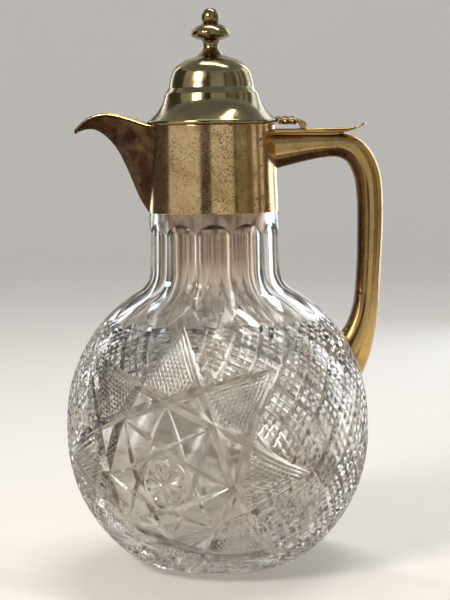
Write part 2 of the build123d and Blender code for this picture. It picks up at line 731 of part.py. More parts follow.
def lid_blank():
    """The lid and its rim as one solid, for fitting the tab and the leaf to them."""
    band = ring((0, RIM_BOTTOM_Z), (RIM_R, RIM_BOTTOM_Z), (RIM_R, FLARE_FOOT[1]),
                (0, FLARE_FOOT[1]))
    return lid_solid(0.0) + band


def lid_tab(blank):
    """The plate that reaches from the lid's rim back to the hinge."""
    back_half = -knuckle_start(0)
    plan = Polyline(
        (TAB_FRONT_X, TAB_FRONT_HALF),
        (TAB_FRONT_X, -TAB_FRONT_HALF),
        (TAB_BEND_X, -TAB_FRONT_HALF),
        (TAB_BACK_X, -back_half),
        (TAB_BACK_X, back_half),
        (TAB_BEND_X, TAB_FRONT_HALF),
        close=True,
    )
    return extrude(Pos(0, 0, RIM_BOTTOM_Z) * make_face(plan), TAB_THICK) - blank


def leaf_lobe(x, z, radius, half):
    """One lobe: a bar across the leaf with a ball at each end."""
    place = Plane(origin=(x, -half + radius, z), z_dir=(0, 1, 0))
    bar = extrude(place * Circle(radius), 2 * (half - radius))
    return bar + Pos(x, -half + radius, z) * Sphere(radius) + Pos(x, half - radius, z) * Sphere(radius)


def tab_leaf(blank):
    """The cast leaf on the tab: lobes side by side, cut flat to lie on the tab."""
    leaf = leaf_lobe(*LEAF_LOBES[0])
    for lobe in LEAF_LOBES[1:]:
        leaf += leaf_lobe(*lobe)
    below = extrude(Pos(0, 0, RIM_BOTTOM_Z + TAB_THICK) * Circle(2 * HINGE_X), -RIM_R)
    return leaf - below - blank


def finial_stem():
    """The waisted stem with a spreading foot."""
    foot_top = (STEM_FOOT_R, LID_TOP_Z + STEM_FOOT_BAND)
    outline = Polyline((0, LID_TOP_Z), (STEM_FOOT_R, LID_TOP_Z), foot_top)
    outline += ThreePointArc(foot_top, STEM_LOWER, STEM_WAIST)
    outline += ThreePointArc(STEM_WAIST, STEM_UPPER, STEM_TOP)
    outline += Polyline(STEM_TOP, (0, STEM_TOP[1]), (0, LID_TOP_Z))
    return turned(outline) - stud_hole(STUD_BORE_CLEAR)


def finial_knop():
    """The mushroom knop."""
    widest = (KNOP_R, KNOP_WIDEST_Z)
    outline = Line((0, STEM_TOP[1]), KNOP_UNDER)
    outline += ThreePointArc(KNOP_UNDER, KNOP_LOWER, widest)
    outline += ThreePointArc(widest, KNOP_UPPER, KNOP_TOP)
    outline += Polyline(KNOP_TOP, (0, KNOP_TOP[1]), (0, STEM_TOP[1]))
    return turned(outline) - stud_hole(STUD_BORE_CLEAR)


def finial_ball():
    """The ball on top, cut flat below and bored for the stud."""
    below = extrude(Pos(0, 0, KNOP_TOP[1]) * Circle(2 * BALL_R), -2 * BALL_R)
    return Pos(0, 0, BALL_CENTRE_Z) * Sphere(BALL_R) - below - stud_hole(STUD_BORE_CLEAR)


def finial_stud():
    """The stud that holds the finial's pieces on the lid."""
    middle = (STUD_BOTTOM_Z + STUD_TOP_Z) / 2
    return Pos(0, 0, middle) * Cylinder(STUD_R, STUD_TOP_Z - STUD_BOTTOM_Z)


def finial_washer():
    """The washer under the top of the lid."""
    top = LID_TOP_Z - LID_WALL
    bore = STUD_R + STUD_BORE_CLEAR
    return ring((bore, top - WASHER_THICK), (WASHER_R, top - WASHER_THICK), (WASHER_R, top),
                (bore, top))


def finial_nut():
    """The six-sided nut on the stud inside the lid."""
    top = LID_TOP_Z - LID_WALL - WASHER_THICK
    sides = RegularPolygon(NUT_ACROSS_FLATS / 2, 6, major_radius=False)
    nut = extrude(Pos(0, 0, top - NUT_HEIGHT) * sides, NUT_HEIGHT)
    return nut - stud_hole(STUD_BORE_CLEAR)


def build():
    """Every piece by its name."""
    beak = spout_solid(0.0, 0.0)
    channel = spout_solid(SPOUT_WALL, CHANNEL_LIFT)
    handle_outer = handle_solid(0.0)
    handle_inner = handle_solid(HANDLE_WALL)
    blank = lid_blank()
    rivet = thumb_rest_rivet()
    rivet_hole = rivet_rod(MOUNT_FIT_HIGH_Z)
    return {
        "glass_body": glass_body(),
        "neck_plaster": neck_plaster(),
        "collar_band": collar_band(channel),
        "collar_seat_ring": collar_seat_ring(),
        "collar_floor_ring": collar_floor_ring(),
        "spout_shell": spout_shell(beak, channel),
        "handle_tube": handle_tube(handle_outer, handle_inner) - rivet_hole,
        "handle_foot_cap": handle_foot_cap(handle_outer),
        "thumb_rest": thumb_rest(handle_outer) - rivet_hole,
        "thumb_rest_rivet": rivet,
        "hinge_knuckles_fixed": hinge_knuckles_fixed(),
        "hinge_pin": hinge_pin(),
        "lid_shell": lid_shell(),
        "lid_rim_band": lid_rim_band(),
        "lid_locating_ring": lid_locating_ring(),
        "lid_tab": lid_tab(blank),
        "hinge_knuckles_lid": hinge_knuckles_lid(),
        "tab_leaf": tab_leaf(blank),
        "finial_stem": finial_stem(),
        "finial_knop": finial_knop(),
        "finial_ball": finial_ball(),
        "finial_stud": finial_stud(),
        "finial_washer": finial_washer(),
        "finial_nut": finial_nut(),
    }


os.makedirs("parts", exist_ok=True)
for name, solid in build().items():
    export_step(solid, f"parts/{name}.step")
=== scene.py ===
import itertools

import bmesh
import bpy
import numpy as np
from mathutils import Matrix, Vector


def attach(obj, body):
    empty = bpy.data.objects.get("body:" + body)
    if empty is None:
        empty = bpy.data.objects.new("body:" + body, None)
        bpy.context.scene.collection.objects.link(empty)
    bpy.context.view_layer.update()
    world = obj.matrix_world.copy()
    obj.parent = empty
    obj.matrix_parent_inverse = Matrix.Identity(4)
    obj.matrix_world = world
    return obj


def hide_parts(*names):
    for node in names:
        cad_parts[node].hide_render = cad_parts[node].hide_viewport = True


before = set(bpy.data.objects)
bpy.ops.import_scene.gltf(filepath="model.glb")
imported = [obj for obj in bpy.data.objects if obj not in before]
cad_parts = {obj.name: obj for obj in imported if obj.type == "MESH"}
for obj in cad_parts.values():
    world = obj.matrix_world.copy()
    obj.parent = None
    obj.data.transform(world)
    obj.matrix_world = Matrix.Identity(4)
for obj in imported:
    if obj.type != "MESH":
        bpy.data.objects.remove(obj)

bl_info = {
    "name": "Claret jug",
    "version": (1, 0, 0),
    "blender": (4, 5, 0),
    "location": "View3D > Sidebar > Claret jug",
    "description": "Cut-glass claret jug with a plated mount, hinged lid, spout and handle",
    "category": "Add Mesh",
}

# The jug stands on z = 0 with its axis at x = y = 0, the spout along -X and the handle along +X.
# Lengths are millimetres until a mesh is made.
MM = 0.001

# Glass blank.
GLOBE_R = 72.4
LOWER_CENTRE_Z = 64.3
UPPER_CENTRE_Z = 70.4
BAND_SPREAD = 0.08
FOOT_R = 24.0
FOOT_BLEND_R = 46.0
NECK_R = 30.7
NECK_FOOT_R = 32.0
NECK_FILLET_R = 11.0
BORE_R = 25.1
BORE_FILLET_R = 18.0
INNER_R = 65.8
INNER_FLOOR_Z = 9.0
INNER_CENTRE_Z = 67.0
GLASS_STEP_Z = 170.0
GLASS_SEAT_R = 28.7
GLASS_RIM_Z = 187.5
BLANK_TURNS = 168

# Flutes round the neck: (radius from the axis, height) of the hollow's deepest line.
FLUTE_COUNT = 12
FLUTE_WHEEL_R = 40.6
FLUTE_HALF = 14.0
FLUTE_NECK_R = 29.15
FLUTE_FOOT_R = 30.1
FLUTE_RUNOUT = (158.6, 14.0, 42.0)
FLUTE_BEND_R = 16.0
FLUTE_END = (53.2, 119.5)
FLUTE_SLOPE = 0.65
FLUTE_PAST_END = 9.5

# Cutting on the globe. A place is (longitude from the front, -Y, towards the handle, latitude).
# Angles are degrees, bearings run clockwise from up.
STAR_PLACES = ((-19.4, -9.8), (160.6, -9.8))
STAR_TURN = 2.8
STAR_MIDDLE = 23.5
STAR_INNER_CROSS = 25.3
STAR_NOTCH = 32.5
STAR_PAST_TIP = (1.2, 0.5)
INNER_STAR = (23.0, 9.4, 1.4, 1.6)
LATTICE_PLACES = ((70.6, 0.0), (-109.4, 0.0))
LATTICE_LEANS = (40.5, 139.5)
LATTICE_REACH = 70.0
LATTICE_TOP = 44.5
LATTICE_BOTTOM = -62.0

# Mount. The spout's stations are (x, keel height, edge height, half width at the edge) and the
# handle's (x, z, lean of the section in degrees, depth, width).
COLLAR_FOOT_R = 31.0
COLLAR_TOP_R = 30.0
COLLAR_TOP_Z = 211.3
COLLAR_WALL = 0.8
SPOUT_STATIONS = (
    (-22.0, 153.0, 211.0, 16.1), (-27.5, 164.0, 211.1, 13.9), (-31.3, 170.6, 211.7, 12.0),
    (-35.3, 177.5, 213.1, 10.4), (-40.7, 190.9, 214.9, 8.5), (-45.3, 200.2, 216.2, 7.1),
    (-50.5, 206.4, 216.8, 5.8), (-55.5, 209.6, 216.0, 4.6), (-60.2, 209.8, 213.8, 3.4),
    (-64.4, 208.5, 210.1, 2.2),
)
SPOUT_WALL = 0.8
CHANNEL_LIFT = 4.0
SPOUT_HOLE = ((-41.0, -30.0, 176.0), (-21.0, 30.0, 205.6))
HANDLE_STATIONS = (
    (26.0, 197.7, 0.0, 17.8, 14.6), (34.0, 198.65, 0.0, 15.7, 13.6),
    (44.0, 199.75, 0.0, 13.1, 12.2), (54.0, 200.5, 0.0, 11.2, 11.6),
    (61.8, 200.2, -14.0, 11.7, 11.6), (68.55, 196.2, -45.0, 12.5, 11.8),
    (73.1, 186.8, -78.0, 12.6, 11.8), (74.4, 174.0, -90.0, 12.4, 11.8),
    (74.2, 157.0, -91.5, 12.1, 11.8), (73.3, 139.4, -93.5, 11.6, 11.8),
    (72.0, 124.5, -100.0, 12.2, 12.0), (69.65, 113.7, -108.0, 14.2, 12.8),
    (65.6, 104.1, -113.0, 18.0, 14.0), (60.0, 92.4, -116.0, 20.0, 15.0),
)
HANDLE_WALL = 1.1
FOOT_CAP_GAP = 0.4
FOOT_CAP_THICK = 1.8

# Thumb rest, seen from the side as (x, height of its middle) and from above as (x, half width).
REST_LINE = ((20.0, 207.6), (30.0, 207.6), (46.0, 207.6), (58.0, 207.55), (63.5, 207.8),
             (67.5, 208.65), (70.5, 209.85), (73.1, 211.1))
REST_WIDTHS = ((20.0, 5.2), (28.0, 5.0), (39.0, 4.5), (50.0, 4.2), (60.0, 5.1), (68.5, 6.4),
               (74.0, 6.6))
REST_ENDS = (22.0, 73.1)
REST_RIB = ((22.0, -2.4, 203.4), (60.0, 2.4, 207.4))

# Lid, as (radius, height) of its outer surface from the stud down.
LID_DOME = ((0.0, 243.0), (4.0, 243.0), (7.6, 242.95), (10.2, 242.4), (12.6, 241.45),
            (14.3, 240.5), (15.8, 239.5), (16.9, 238.6), (17.7, 237.65), (18.3, 236.7),
            (18.75, 235.7), (19.3, 233.9), (19.75, 232.0), (20.1, 230.1), (20.4, 228.7))
LID_FLARE = ((22.15, 226.1), (22.85, 223.6), (23.65, 221.5), (24.75, 219.5), (26.2, 217.5),
             (28.1, 215.5), (30.3, 213.5))
LID_WALL = 0.9
RIM_R = 31.0
RIM_BOTTOM_Z = 211.6
RIM_TOP_Z = 213.5
RIM_BORE_R = 28.3
STUD_HOLE_R = 1.53
LEAF_MIDDLE_Z = 212.35
BALL_Z = 261.6


# Shapes -------------------------------------------------------------------------------------------


def arc(centre, radius, start, end, count):
    """Points on a circle in the plane of a profile: centre plus radius times cosine and sine."""
    turn = np.radians(np.linspace(start, end, count))
    return np.stack([centre[0] + radius * np.cos(turn), centre[1] + radius * np.sin(turn)], 1)


def run(*parts):
    """Profile parts joined end to end, without points that lie on each other."""
    points = np.concatenate([np.atleast_2d(np.asarray(p, float)) for p in parts])
    keep = np.ones(len(points), bool)
    keep[1:] = np.hypot(*(points[1:] - points[:-1]).T) > 1e-6
    return points[keep]


def smooth_line(knots, count):
    """A curve through the knots: a Catmull-Rom cubic between each pair, evenly stepped."""
    k = np.asarray(knots, float)
    k = np.concatenate([[2 * k[0] - k[1]], k, [2 * k[-1] - k[-2]]])
    t = np.linspace(0, len(k) - 3 - 1e-9, count)
    i = t.astype(int)
    u = (t - i)[:, None]
    a, b, c, d = k[i], k[i + 1], k[i + 2], k[i + 3]
    return 0.5 * (2 * b + (c - a) * u + (2 * a - 5 * b + 4 * c - d) * u**2
                  + (3 * b - 3 * c + d - a) * u**3)


def softened(corners, radius=0.25, rest=0.35):
    """A closed profile with each corner P rounded: (1-t)^2 A + 2t(1-t) P + t^2 B.

    A and B are the points a radius before and after the corner. One more point on each side, a
    little further on, keeps the flats flat in smooth shading.
    """
    p = np.asarray(corners, float)
    back, ahead = np.roll(p, 1, 0) - p, np.roll(p, -1, 0) - p
    long_back, long_ahead = np.hypot(*back.T)[:, None], np.hypot(*ahead.T)[:, None]
    a = p + back / long_back * np.minimum(radius, 0.3 * long_back)
    b = p + ahead / long_ahead * np.minimum(radius, 0.3 * long_ahead)
    far_a = p + back / long_back * np.minimum(radius + rest, 0.45 * long_back)
    far_b = p + ahead / long_ahead * np.minimum(radius + rest, 0.45 * long_ahead)
    t = np.linspace(0, 1, 5)[None, :, None]
    curve = (1 - t) ** 2 * a[:, None] + 2 * t * (1 - t) * p[:, None] + t**2 * b[:, None]
    return np.concatenate([far_a[:, None], curve, far_b[:, None]], 1).reshape(-1, 2)


def grid_faces(rows, columns, wrap_rows, wrap_columns):
    """Corner numbers of the quads of a grid whose point (i, j) is number i * columns + j."""
    i = np.arange(rows if wrap_rows else rows - 1)
    j = np.arange(columns if wrap_columns else columns - 1)
    i, j = (k.ravel() for k in np.meshgrid(i, j, indexing="ij"))
    next_i, next_j = (i + 1) % rows, (j + 1) % columns
    return np.stack([i * columns + j, i * columns + next_j, next_i * columns + next_j,
                     next_i * columns + j], 1)


def closed(points, faces, ground=0.0):
    """A mesh in metres with its doubles merged and every face pointing outwards.

    Every face is marked with how coarsely it is ground, which a cut passes on to the faces it makes. The
    glass reads the mark for its dullness and for painted shade in the cuts.
    """
    sizes = np.array([len(f) for f in faces])
    mesh = bpy.data.meshes.new("piece")
    mesh.vertices.add(len(points))
    mesh.vertices.foreach_set("co", np.ascontiguousarray(points * MM, dtype=np.float32).ravel())
    mesh.loops.add(int(sizes.sum()))
    mesh.loops.foreach_set("vertex_index", np.concatenate(faces).astype(np.int32))
    mesh.polygons.add(len(faces))
    mesh.polygons.foreach_set("loop_start", (np.cumsum(sizes) - sizes).astype(np.int32))
    mesh.update(calc_edges=True)
    work = bmesh.new()
    work.from_mesh(mesh)
    bmesh.ops.remove_doubles(work, verts=work.verts, dist=1e-7)
    bmesh.ops.dissolve_degenerate(work, edges=work.edges, dist=1e-8)
    bmesh.ops.recalc_face_normals(work, faces=work.faces)
    work.to_mesh(mesh)
    work.free()
    mark = mesh.attributes.new("ground", "FLOAT", "FACE")
    mark.data.foreach_set("value", np.full(len(mesh.polygons), ground, dtype=np.float32))
    return mesh


def lathe(profile, turns, ring=False):
    """A closed profile of radius and height carried round the axis: x = r cos a, y = r sin a.

    A ring's profile closes on itself. Otherwise it starts and ends on the axis.
    """
    angle = np.arange(turns) * (2 * np.pi / turns)
    r, z = profile[:, :1], profile[:, 1:]
    points = np.stack([r * np.cos(angle), r * np.sin(angle), z + 0 * angle], 2)
    return closed(points.reshape(-1, 3), list(grid_faces(len(profile), turns, ring, True)))


def lofts(parts, ring=False, ground=0.0):
    """One mesh of separate lofts, each an array of closed sections (n, m, 3) joined in order."""
    points, faces, base = [], [], 0
    for part in parts:
        n, m = part.shape[:2]
        points.append(part.reshape(-1, 3))
        faces += list(grid_faces(n, m, ring, True) + base)
        if not ring:
            faces += [base + np.arange(m)[::-1], base + (n - 1) * m + np.arange(m)]
        base += n * m
    return closed(np.concatenate(points), faces, ground)


def tube(path, radii, around=14):
    """Round sections of a tube along a path: path + r (cos a side + sin a up)."""
    ahead = np.gradient(path, axis=0)
    side = np.cross(ahead, (0.0, 0.0, 1.0))
    side /= np.linalg.norm(side, axis=1)[:, None]
    up = np.cross(side, ahead)
    up /= np.linalg.norm(up, axis=1)[:, None]
    a = np.linspace(0, 2 * np.pi, around, endpoint=False)[None, :, None]
    r = np.broadcast_to(radii, len(path))[:, None, None]
    return path[:, None] + r * (np.cos(a) * side[:, None] + np.sin(a) * up[:, None])


def block(low, high):
    """A plain box between two corners, for cutting with."""
    corner = np.array([low, high], float)
    pick = np.array([(i, j, k) for i in (0, 1) for j in (0, 1) for k in (0, 1)])
    return closed(np.take_along_axis(corner, pick, 0), [
        (0, 1, 3, 2), (4, 6, 7, 5), (0, 4, 5, 1), (2, 3, 7, 6), (0, 2, 6, 4), (1, 5, 7, 3)])


def cut(mesh, *tools, operation="DIFFERENCE"):
    """The mesh after each tool, a closed mesh, has been taken from it or joined to it in turn."""
    helpers = []
    for data in (mesh,) + tools:
        helper = bpy.data.objects.new("tool", data)
        bpy.context.scene.collection.objects.link(helper)
        helpers.append(helper)
    for helper in helpers[1:]:
        step = helpers[0].modifiers.new("cut", "BOOLEAN")
        step.operation = operation
        step.solver = "MANIFOLD"
        step.object = helper
    shape = helpers[0].evaluated_get(bpy.context.evaluated_depsgraph_get())
    result = bpy.data.meshes.new_from_object(shape)
    for helper in helpers:
        data = helper.data
        bpy.data.objects.remove(helper)
        bpy.data.meshes.remove(data)
    if not len(result.polygons):
        raise RuntimeError("a cut left nothing")
    return result


def add_piece(name, mesh, body, material, replaced=(), sharp=35.0):
    """Puts a finished mesh into the scene, smooth up to the sharp angle, and tells the frame."""
    mesh.name = name
    mesh.materials.clear()
    mesh.materials.append(material)
    mesh.shade_smooth()
    mesh.set_sharp_from_angle(angle=np.radians(sharp))
    piece = bpy.data.objects.new(name, mesh)
    bpy.context.scene.collection.objects.link(piece)
    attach(piece, body)
    if replaced:
        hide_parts(*replaced)
    return piece


# Glass --------------------------------------------------------------------------------------------


def shoulder_fillet(ball_r, neck_r, fillet_r):
    """Centre of the fillet between the upper ball and the neck, and its angle at the ball."""
    reach = np.sqrt((ball_r + fillet_r) ** 2 - (neck_r + fillet_r) ** 2)
    return (neck_r + fillet_r, UPPER_CENTRE_Z + reach), 180 + np.degrees(
        np.arctan2(reach, neck_r + fillet_r))


def foot_arc():
    """Centre and radius of the arc from the lower ball into the foot, tangent to the ball."""
    drop = np.sqrt(GLOBE_R**2 - FOOT_BLEND_R**2)
    start = np.array([FOOT_BLEND_R, LOWER_CENTRE_Z - drop])
    inward = np.array([-FOOT_BLEND_R, drop]) / GLOBE_R
    chord = np.array([FOOT_R, 0.0]) - start
    radius = chord @ chord / (2 * chord @ inward)
    return start + radius * inward, radius


def blank_profile():
    """Outside from the foot up to the rim, then the inside back down to the floor."""
    centre, radius = foot_arc()
    blend_angle = -np.degrees(np.arccos(FOOT_BLEND_R / GLOBE_R))
    end = np.array([FOOT_R, 0.0]) - centre
    foot = arc(centre, radius, np.degrees(np.arctan2(end[1], end[0])), blend_angle, 8)
    out, meet = shoulder_fillet(GLOBE_R, NECK_FOOT_R, NECK_FILLET_R)
    bore, bore_meet = shoulder_fillet(INNER_R, BORE_R, BORE_FILLET_R)
    rise = np.linspace(0, 1, 12)
    neck = np.stack([NECK_FOOT_R + (NECK_R - NECK_FOOT_R) * rise,
                     out[1] + (GLASS_STEP_Z - out[1]) * rise], 1)
    down = np.radians(np.linspace(0, -90, 20))
    inner = np.stack([INNER_R * np.cos(down),
                      INNER_CENTRE_Z + (INNER_CENTRE_Z - INNER_FLOOR_Z) * np.sin(down)], 1)
    return run((0, 0), (FOOT_R * 0.5, 0), foot,
               arc((0, LOWER_CENTRE_Z), GLOBE_R, blend_angle, 0, 14),
               arc((0, UPPER_CENTRE_Z), GLOBE_R, 0, meet - 180, 24),
               arc(out, NECK_FILLET_R, meet, 180, 12), neck,
               (GLASS_SEAT_R, GLASS_STEP_Z), (GLASS_SEAT_R, GLASS_RIM_Z - 1.2),
               (GLASS_SEAT_R - 1.2, GLASS_RIM_Z), (BORE_R, GLASS_RIM_Z),
               np.stack([np.full(8, BORE_R), np.linspace(GLASS_RIM_Z - 2, bore[1], 8)], 1),
               arc(bore, BORE_FILLET_R, 180, bore_meet, 10),
               arc((0, UPPER_CENTRE_Z), INNER_R, bore_meet - 180, 0, 18), inner)


def flute_line():
    """The deepest line of a flute: run-out arc, straight neck, bend, straight over the shoulder."""
    runout_z, runout_r, runout_turn = FLUTE_RUNOUT
    top = arc((FLUTE_NECK_R + runout_r, runout_z), runout_r, 180 - runout_turn, 180, 10)
    start = np.array([FLUTE_NECK_R, runout_z])
    corner = np.array([FLUTE_FOOT_R, FLUTE_END[1] + FLUTE_SLOPE * (FLUTE_END[0] - FLUTE_FOOT_R)])
    end = np.array([FLUTE_END[0] + FLUTE_PAST_END, FLUTE_END[1] - FLUTE_SLOPE * FLUTE_PAST_END])
    into, away = (v / np.hypot(*v) for v in (corner - start, end - corner))
    turn = np.arccos(into @ away)
    back = FLUTE_BEND_R * np.tan(turn / 2)
    first, last = corner - back * into, corner + back * away
    side = np.array([-into[1], into[0]]) * np.sign(away @ np.array([-into[1], into[0]]))
    sweep = np.linspace(0, turn, 14)[:, None]
    bend = first + FLUTE_BEND_R * (side * (1 - np.cos(sweep)) + into * np.sin(sweep))
    return run(top, start + (first - start) * np.linspace(0, 1, 8)[:, None], bend,
               last + (end - last) * np.linspace(0, 1, 14)[:, None])


def flute_tools():
    """Two tools, each with every second flute: a shallow arc section carried down the neck.

    The section's points are t across and h = R - sqrt(R^2 - t^2) outwards, closed by a block.
    """
    line = flute_line()
    ahead = np.gradient(line, axis=0)
    ahead /= np.hypot(*ahead.T)[:, None]
    t = np.linspace(-FLUTE_HALF, FLUTE_HALF, 19)
    h = np.concatenate([FLUTE_WHEEL_R - np.sqrt(FLUTE_WHEEL_R**2 - t**2), [5.0, 5.0]])
    t = np.concatenate([t, [FLUTE_HALF, -FLUTE_HALF]])
    r = line[:, :1] - h * ahead[:, 1:]
    z = line[:, 1:] + h * ahead[:, :1]
    turns = 2 * np.pi * np.arange(FLUTE_COUNT) / FLUTE_COUNT
    cutters = [np.stack([r * np.cos(a) - t * np.sin(a), r * np.sin(a) + t * np.cos(a), z], 2)
               for a in turns]
    return [lofts(cutters[0::2]), lofts(cutters[1::2])]


def heading(place):
    """Unit vectors out of the globe, east and north at a place."""
    lon, lat = np.radians(place)
    out = np.array([np.sin(lon) * np.cos(lat), -np.cos(lon) * np.cos(lat), np.sin(lat)])
    east = np.array([np.cos(lon), np.sin(lon), 0.0])
    return out, east, np.cross(out, east)


def chart(place, x, y):
    """Directions at distances x east and y north of a place, in millimetres along the globe."""
    out, east, north = heading(place)
    far = np.hypot(x, y)
    turn = far / GLOBE_R
    scale = np.where(far > 0, np.sin(turn) / np.maximum(far, 1e-9), 1 / GLOBE_R)[..., None]
    return np.cos(turn)[..., None] * out + scale * (x[..., None] * east + y[..., None] * north)


def chart_back(place, directions):
    """The distances east and north of a place for directions on the globe."""
    out, east, north = heading(place)
    along, x, y = directions @ out, directions @ east, directions @ north
    side = np.maximum(np.hypot(x, y), 1e-9)
    far = GLOBE_R * np.arctan2(side, along)
    return far * x / side, far * y / side


def star_point(place, angle, bearing):
    """The direction at an angle from a star's centre, on a bearing from its first point."""
    far = GLOBE_R * np.radians(angle)
    turn = np.radians(bearing + STAR_TURN)
    return chart(place, np.asarray(far * np.sin(turn)), np.asarray(far * np.cos(turn)))


def on_surface(n):
    """The point of the blank's outside whose normal is n: two half balls and the foot's arc."""
    centre, radius = foot_arc()
    level = np.hypot(n[:, 0], n[:, 1])
    below = n[:, 2] < -np.sqrt(1 - (FOOT_BLEND_R / GLOBE_R) ** 2)
    half_band = (UPPER_CENTRE_Z - LOWER_CENTRE_Z) / 2
    middle = LOWER_CENTRE_Z + half_band + half_band * np.tanh(n[:, 2] / BAND_SPREAD)
    r = np.where(below, centre[0] + radius * level, GLOBE_R * level)
    z = np.where(below, centre[1] + radius * n[:, 2], middle + GLOBE_R * n[:, 2])
    flat = n[:, :2] / np.maximum(level, 1e-9)[:, None]
    return np.concatenate([flat * r[:, None], z[:, None]], 1)


def circle_run(first, middle, last, step=None):
    """Directions along the flat cut through three directions, a given step apart.

    Without a step they go all round it, from the side opposite the middle.
    """
    normal = np.cross(middle - first, last - first)
    normal /= np.linalg.norm(normal)
    centre = (first @ normal) * normal
    u = middle - centre
    v = np.cross(normal, u)
    ends = [np.arctan2((p - centre) @ v, (p - centre) @ u) for p in (first, last)]
    if step:
        length = abs(ends[1] - ends[0]) * np.linalg.norm(u) * GLOBE_R
        t = np.linspace(ends[0], ends[1], int(length / step) + 2)[:, None]
    else:
        t = np.linspace(-np.pi, np.pi, 1441)[:-1, None]
    return centre + np.cos(t) * u + np.sin(t) * v


def mitre(n, depth, half, fade=None, taper=2.0, lift=0.4):
    """Sections of a V cut along directions n: its floor at the depth, sides out to the half width.

    With a fade p the depth is depth (1 - u^p), u from 0 in the middle to 1 at each end. Without,
    it is depth (1 - (1 - s / taper)^2) within a taper's length s of each end.
    """
    p = on_surface(n)
    side = np.cross(np.gradient(p, axis=0), n)
    side /= np.linalg.norm(side, axis=1)[:, None]
    s = np.concatenate([[0], np.cumsum(np.linalg.norm(np.diff(p, axis=0), axis=1))])
    if fade:
        d = depth * (1 - np.abs(2 * s / s[-1] - 1) ** fade)
    else:
        near = np.minimum(s, s[-1] - s) / min(taper, 0.5 * s[-1])
        d = depth * (1 - (1 - np.minimum(near, 1)) ** 2)
    d -= 0.05
    wide = (np.maximum(d, 0) + lift) * half / depth
    return np.stack([p - d[:, None] * n, p + lift * n + wide[:, None] * side,
                     p + lift * n - wide[:, None] * side], 1)


def star_tools(tip, middle, depth, half, step):
    """The eight cuts of each star, from one tip to the third tip round, in crossing-free fours."""
    beyond, turn = STAR_PAST_TIP
    cuts = [mitre(circle_run(star_point(place, tip + beyond, 45 * k - turn),
                             star_point(place, middle, 45 * k + 67.5),
                             star_point(place, tip + beyond, 45 * k + 135 + turn), step),
                  depth, half, fade=3.0)
            for k in range(8) for place in STAR_PLACES]
    return [lofts(cuts[i:i + 2] + cuts[i + 8:i + 10], ground=1.0) for i in (0, 2, 4, 6)]


def inside(x, y, corners):
    """True where a point lies inside a polygon, by counting the edges it is below."""
    within = np.zeros(x.shape, bool)
    for (x1, y1), (x2, y2) in zip(corners, np.roll(corners, -1, axis=0)):
        crosses = (y1 > y) != (y2 > y)
        within ^= crosses & (x < (x2 - x1) * (y - y1) / (y2 - y1 + 1e-12) + x1)
    return within


def star_corners(angles, bearings):
    """Points of a star in its chart, from angles and bearings in degrees."""
    far, turn = GLOBE_R * np.radians(angles), np.radians(np.add(bearings, STAR_TURN))
    return np.stack([far * np.sin(turn), far * np.cos(turn)], 1)


def stretches(mask, shortest, spacing):
    """Sample numbers, about a spacing apart, of each run of True at least so many samples long."""
    edge = np.flatnonzero(np.diff(np.concatenate([[0], mask.astype(int), [0]])))
    return [np.linspace(first, last - 1, max((last - first) // spacing, 4)).astype(int)
            for first, last in zip(edge[::2], edge[1::2]) if last - first >= shortest]


def hatch_tools(s):
    """Fine crossed lines in each kite of a star, parallel to the kite's long sides.

    A line at offset o and lean a is the points (sin a s + cos a o, cos a s - sin a o) of the chart.
    """
    families = [[], []]
    reach = np.arange(-80, 80, 0.4)[:, None]
    for k in range(8):
        kite = star_corners([s.star_tip, STAR_NOTCH, STAR_INNER_CROSS, STAR_NOTCH],
                            45 * k + np.array([0, 22.5, 0, -22.5]))
        kite = kite.mean(axis=0) + (kite - kite.mean(axis=0)) * 0.92
        for family, other in enumerate((1, 3)):
            lean = np.arctan2(*(kite[other] - kite[0]))
            across = np.array([np.cos(lean), -np.sin(lean)])
            span = kite @ across
            for offset in np.arange(span.min() + 0.7, span.max(), s.hatch_pitch):
                line = reach * np.array([np.sin(lean), np.cos(lean)]) + offset * across
                for picked in stretches(inside(*line.T, kite), 6, 8):
                    families[family] += [mitre(chart(place, *line[picked].T), s.hatch_depth,
                                               0.47 * s.hatch_pitch, taper=1.2, lift=0.15)
                                         for place in STAR_PLACES]
    return [lofts(f, ground=0.6) for f in families]


def lattice_tools(s):
    """Two crossing families of deep and fine lines over all the globe outside the stars."""
    outline = star_corners(np.tile([s.star_tip, STAR_NOTCH], 8), 22.5 * np.arange(16))
    pitch = s.lattice_pitch
    deep = np.arange(-8, 9) * pitch
    fine = np.concatenate([deep[:-1] + 0.37 * pitch, deep[:-1] + 0.63 * pitch])
    along = np.array([-LATTICE_REACH, 0.0, LATTICE_REACH])
    tools = []
    for lean, (offsets, depth, half, ground) in itertools.product(np.radians(LATTICE_LEANS), (
            (deep, s.lattice_depth, 0.9 * s.lattice_depth, 1.0),
            (fine, s.hobnail_depth, 1.2 * s.hobnail_depth, 0.3))):
        cuts = []
        for place in LATTICE_PLACES:
            for offset in offsets:
                n = circle_run(*chart(place, np.sin(lean) * along + np.cos(lean) * offset,
                                      np.cos(lean) * along - np.sin(lean) * offset))
                height = np.degrees(np.arcsin(n[:, 2]))
                clear = (height < LATTICE_TOP) & (height > LATTICE_BOTTOM)
                clear &= n @ heading(place)[0] > 0
                for star in STAR_PLACES:
                    clear &= ~inside(*chart_back(star, n), outline)
                cuts += [mitre(n[picked], depth, half) for picked in stretches(clear, 14, 12)]
        tools.append(lofts(cuts, ground=ground))
    return tools


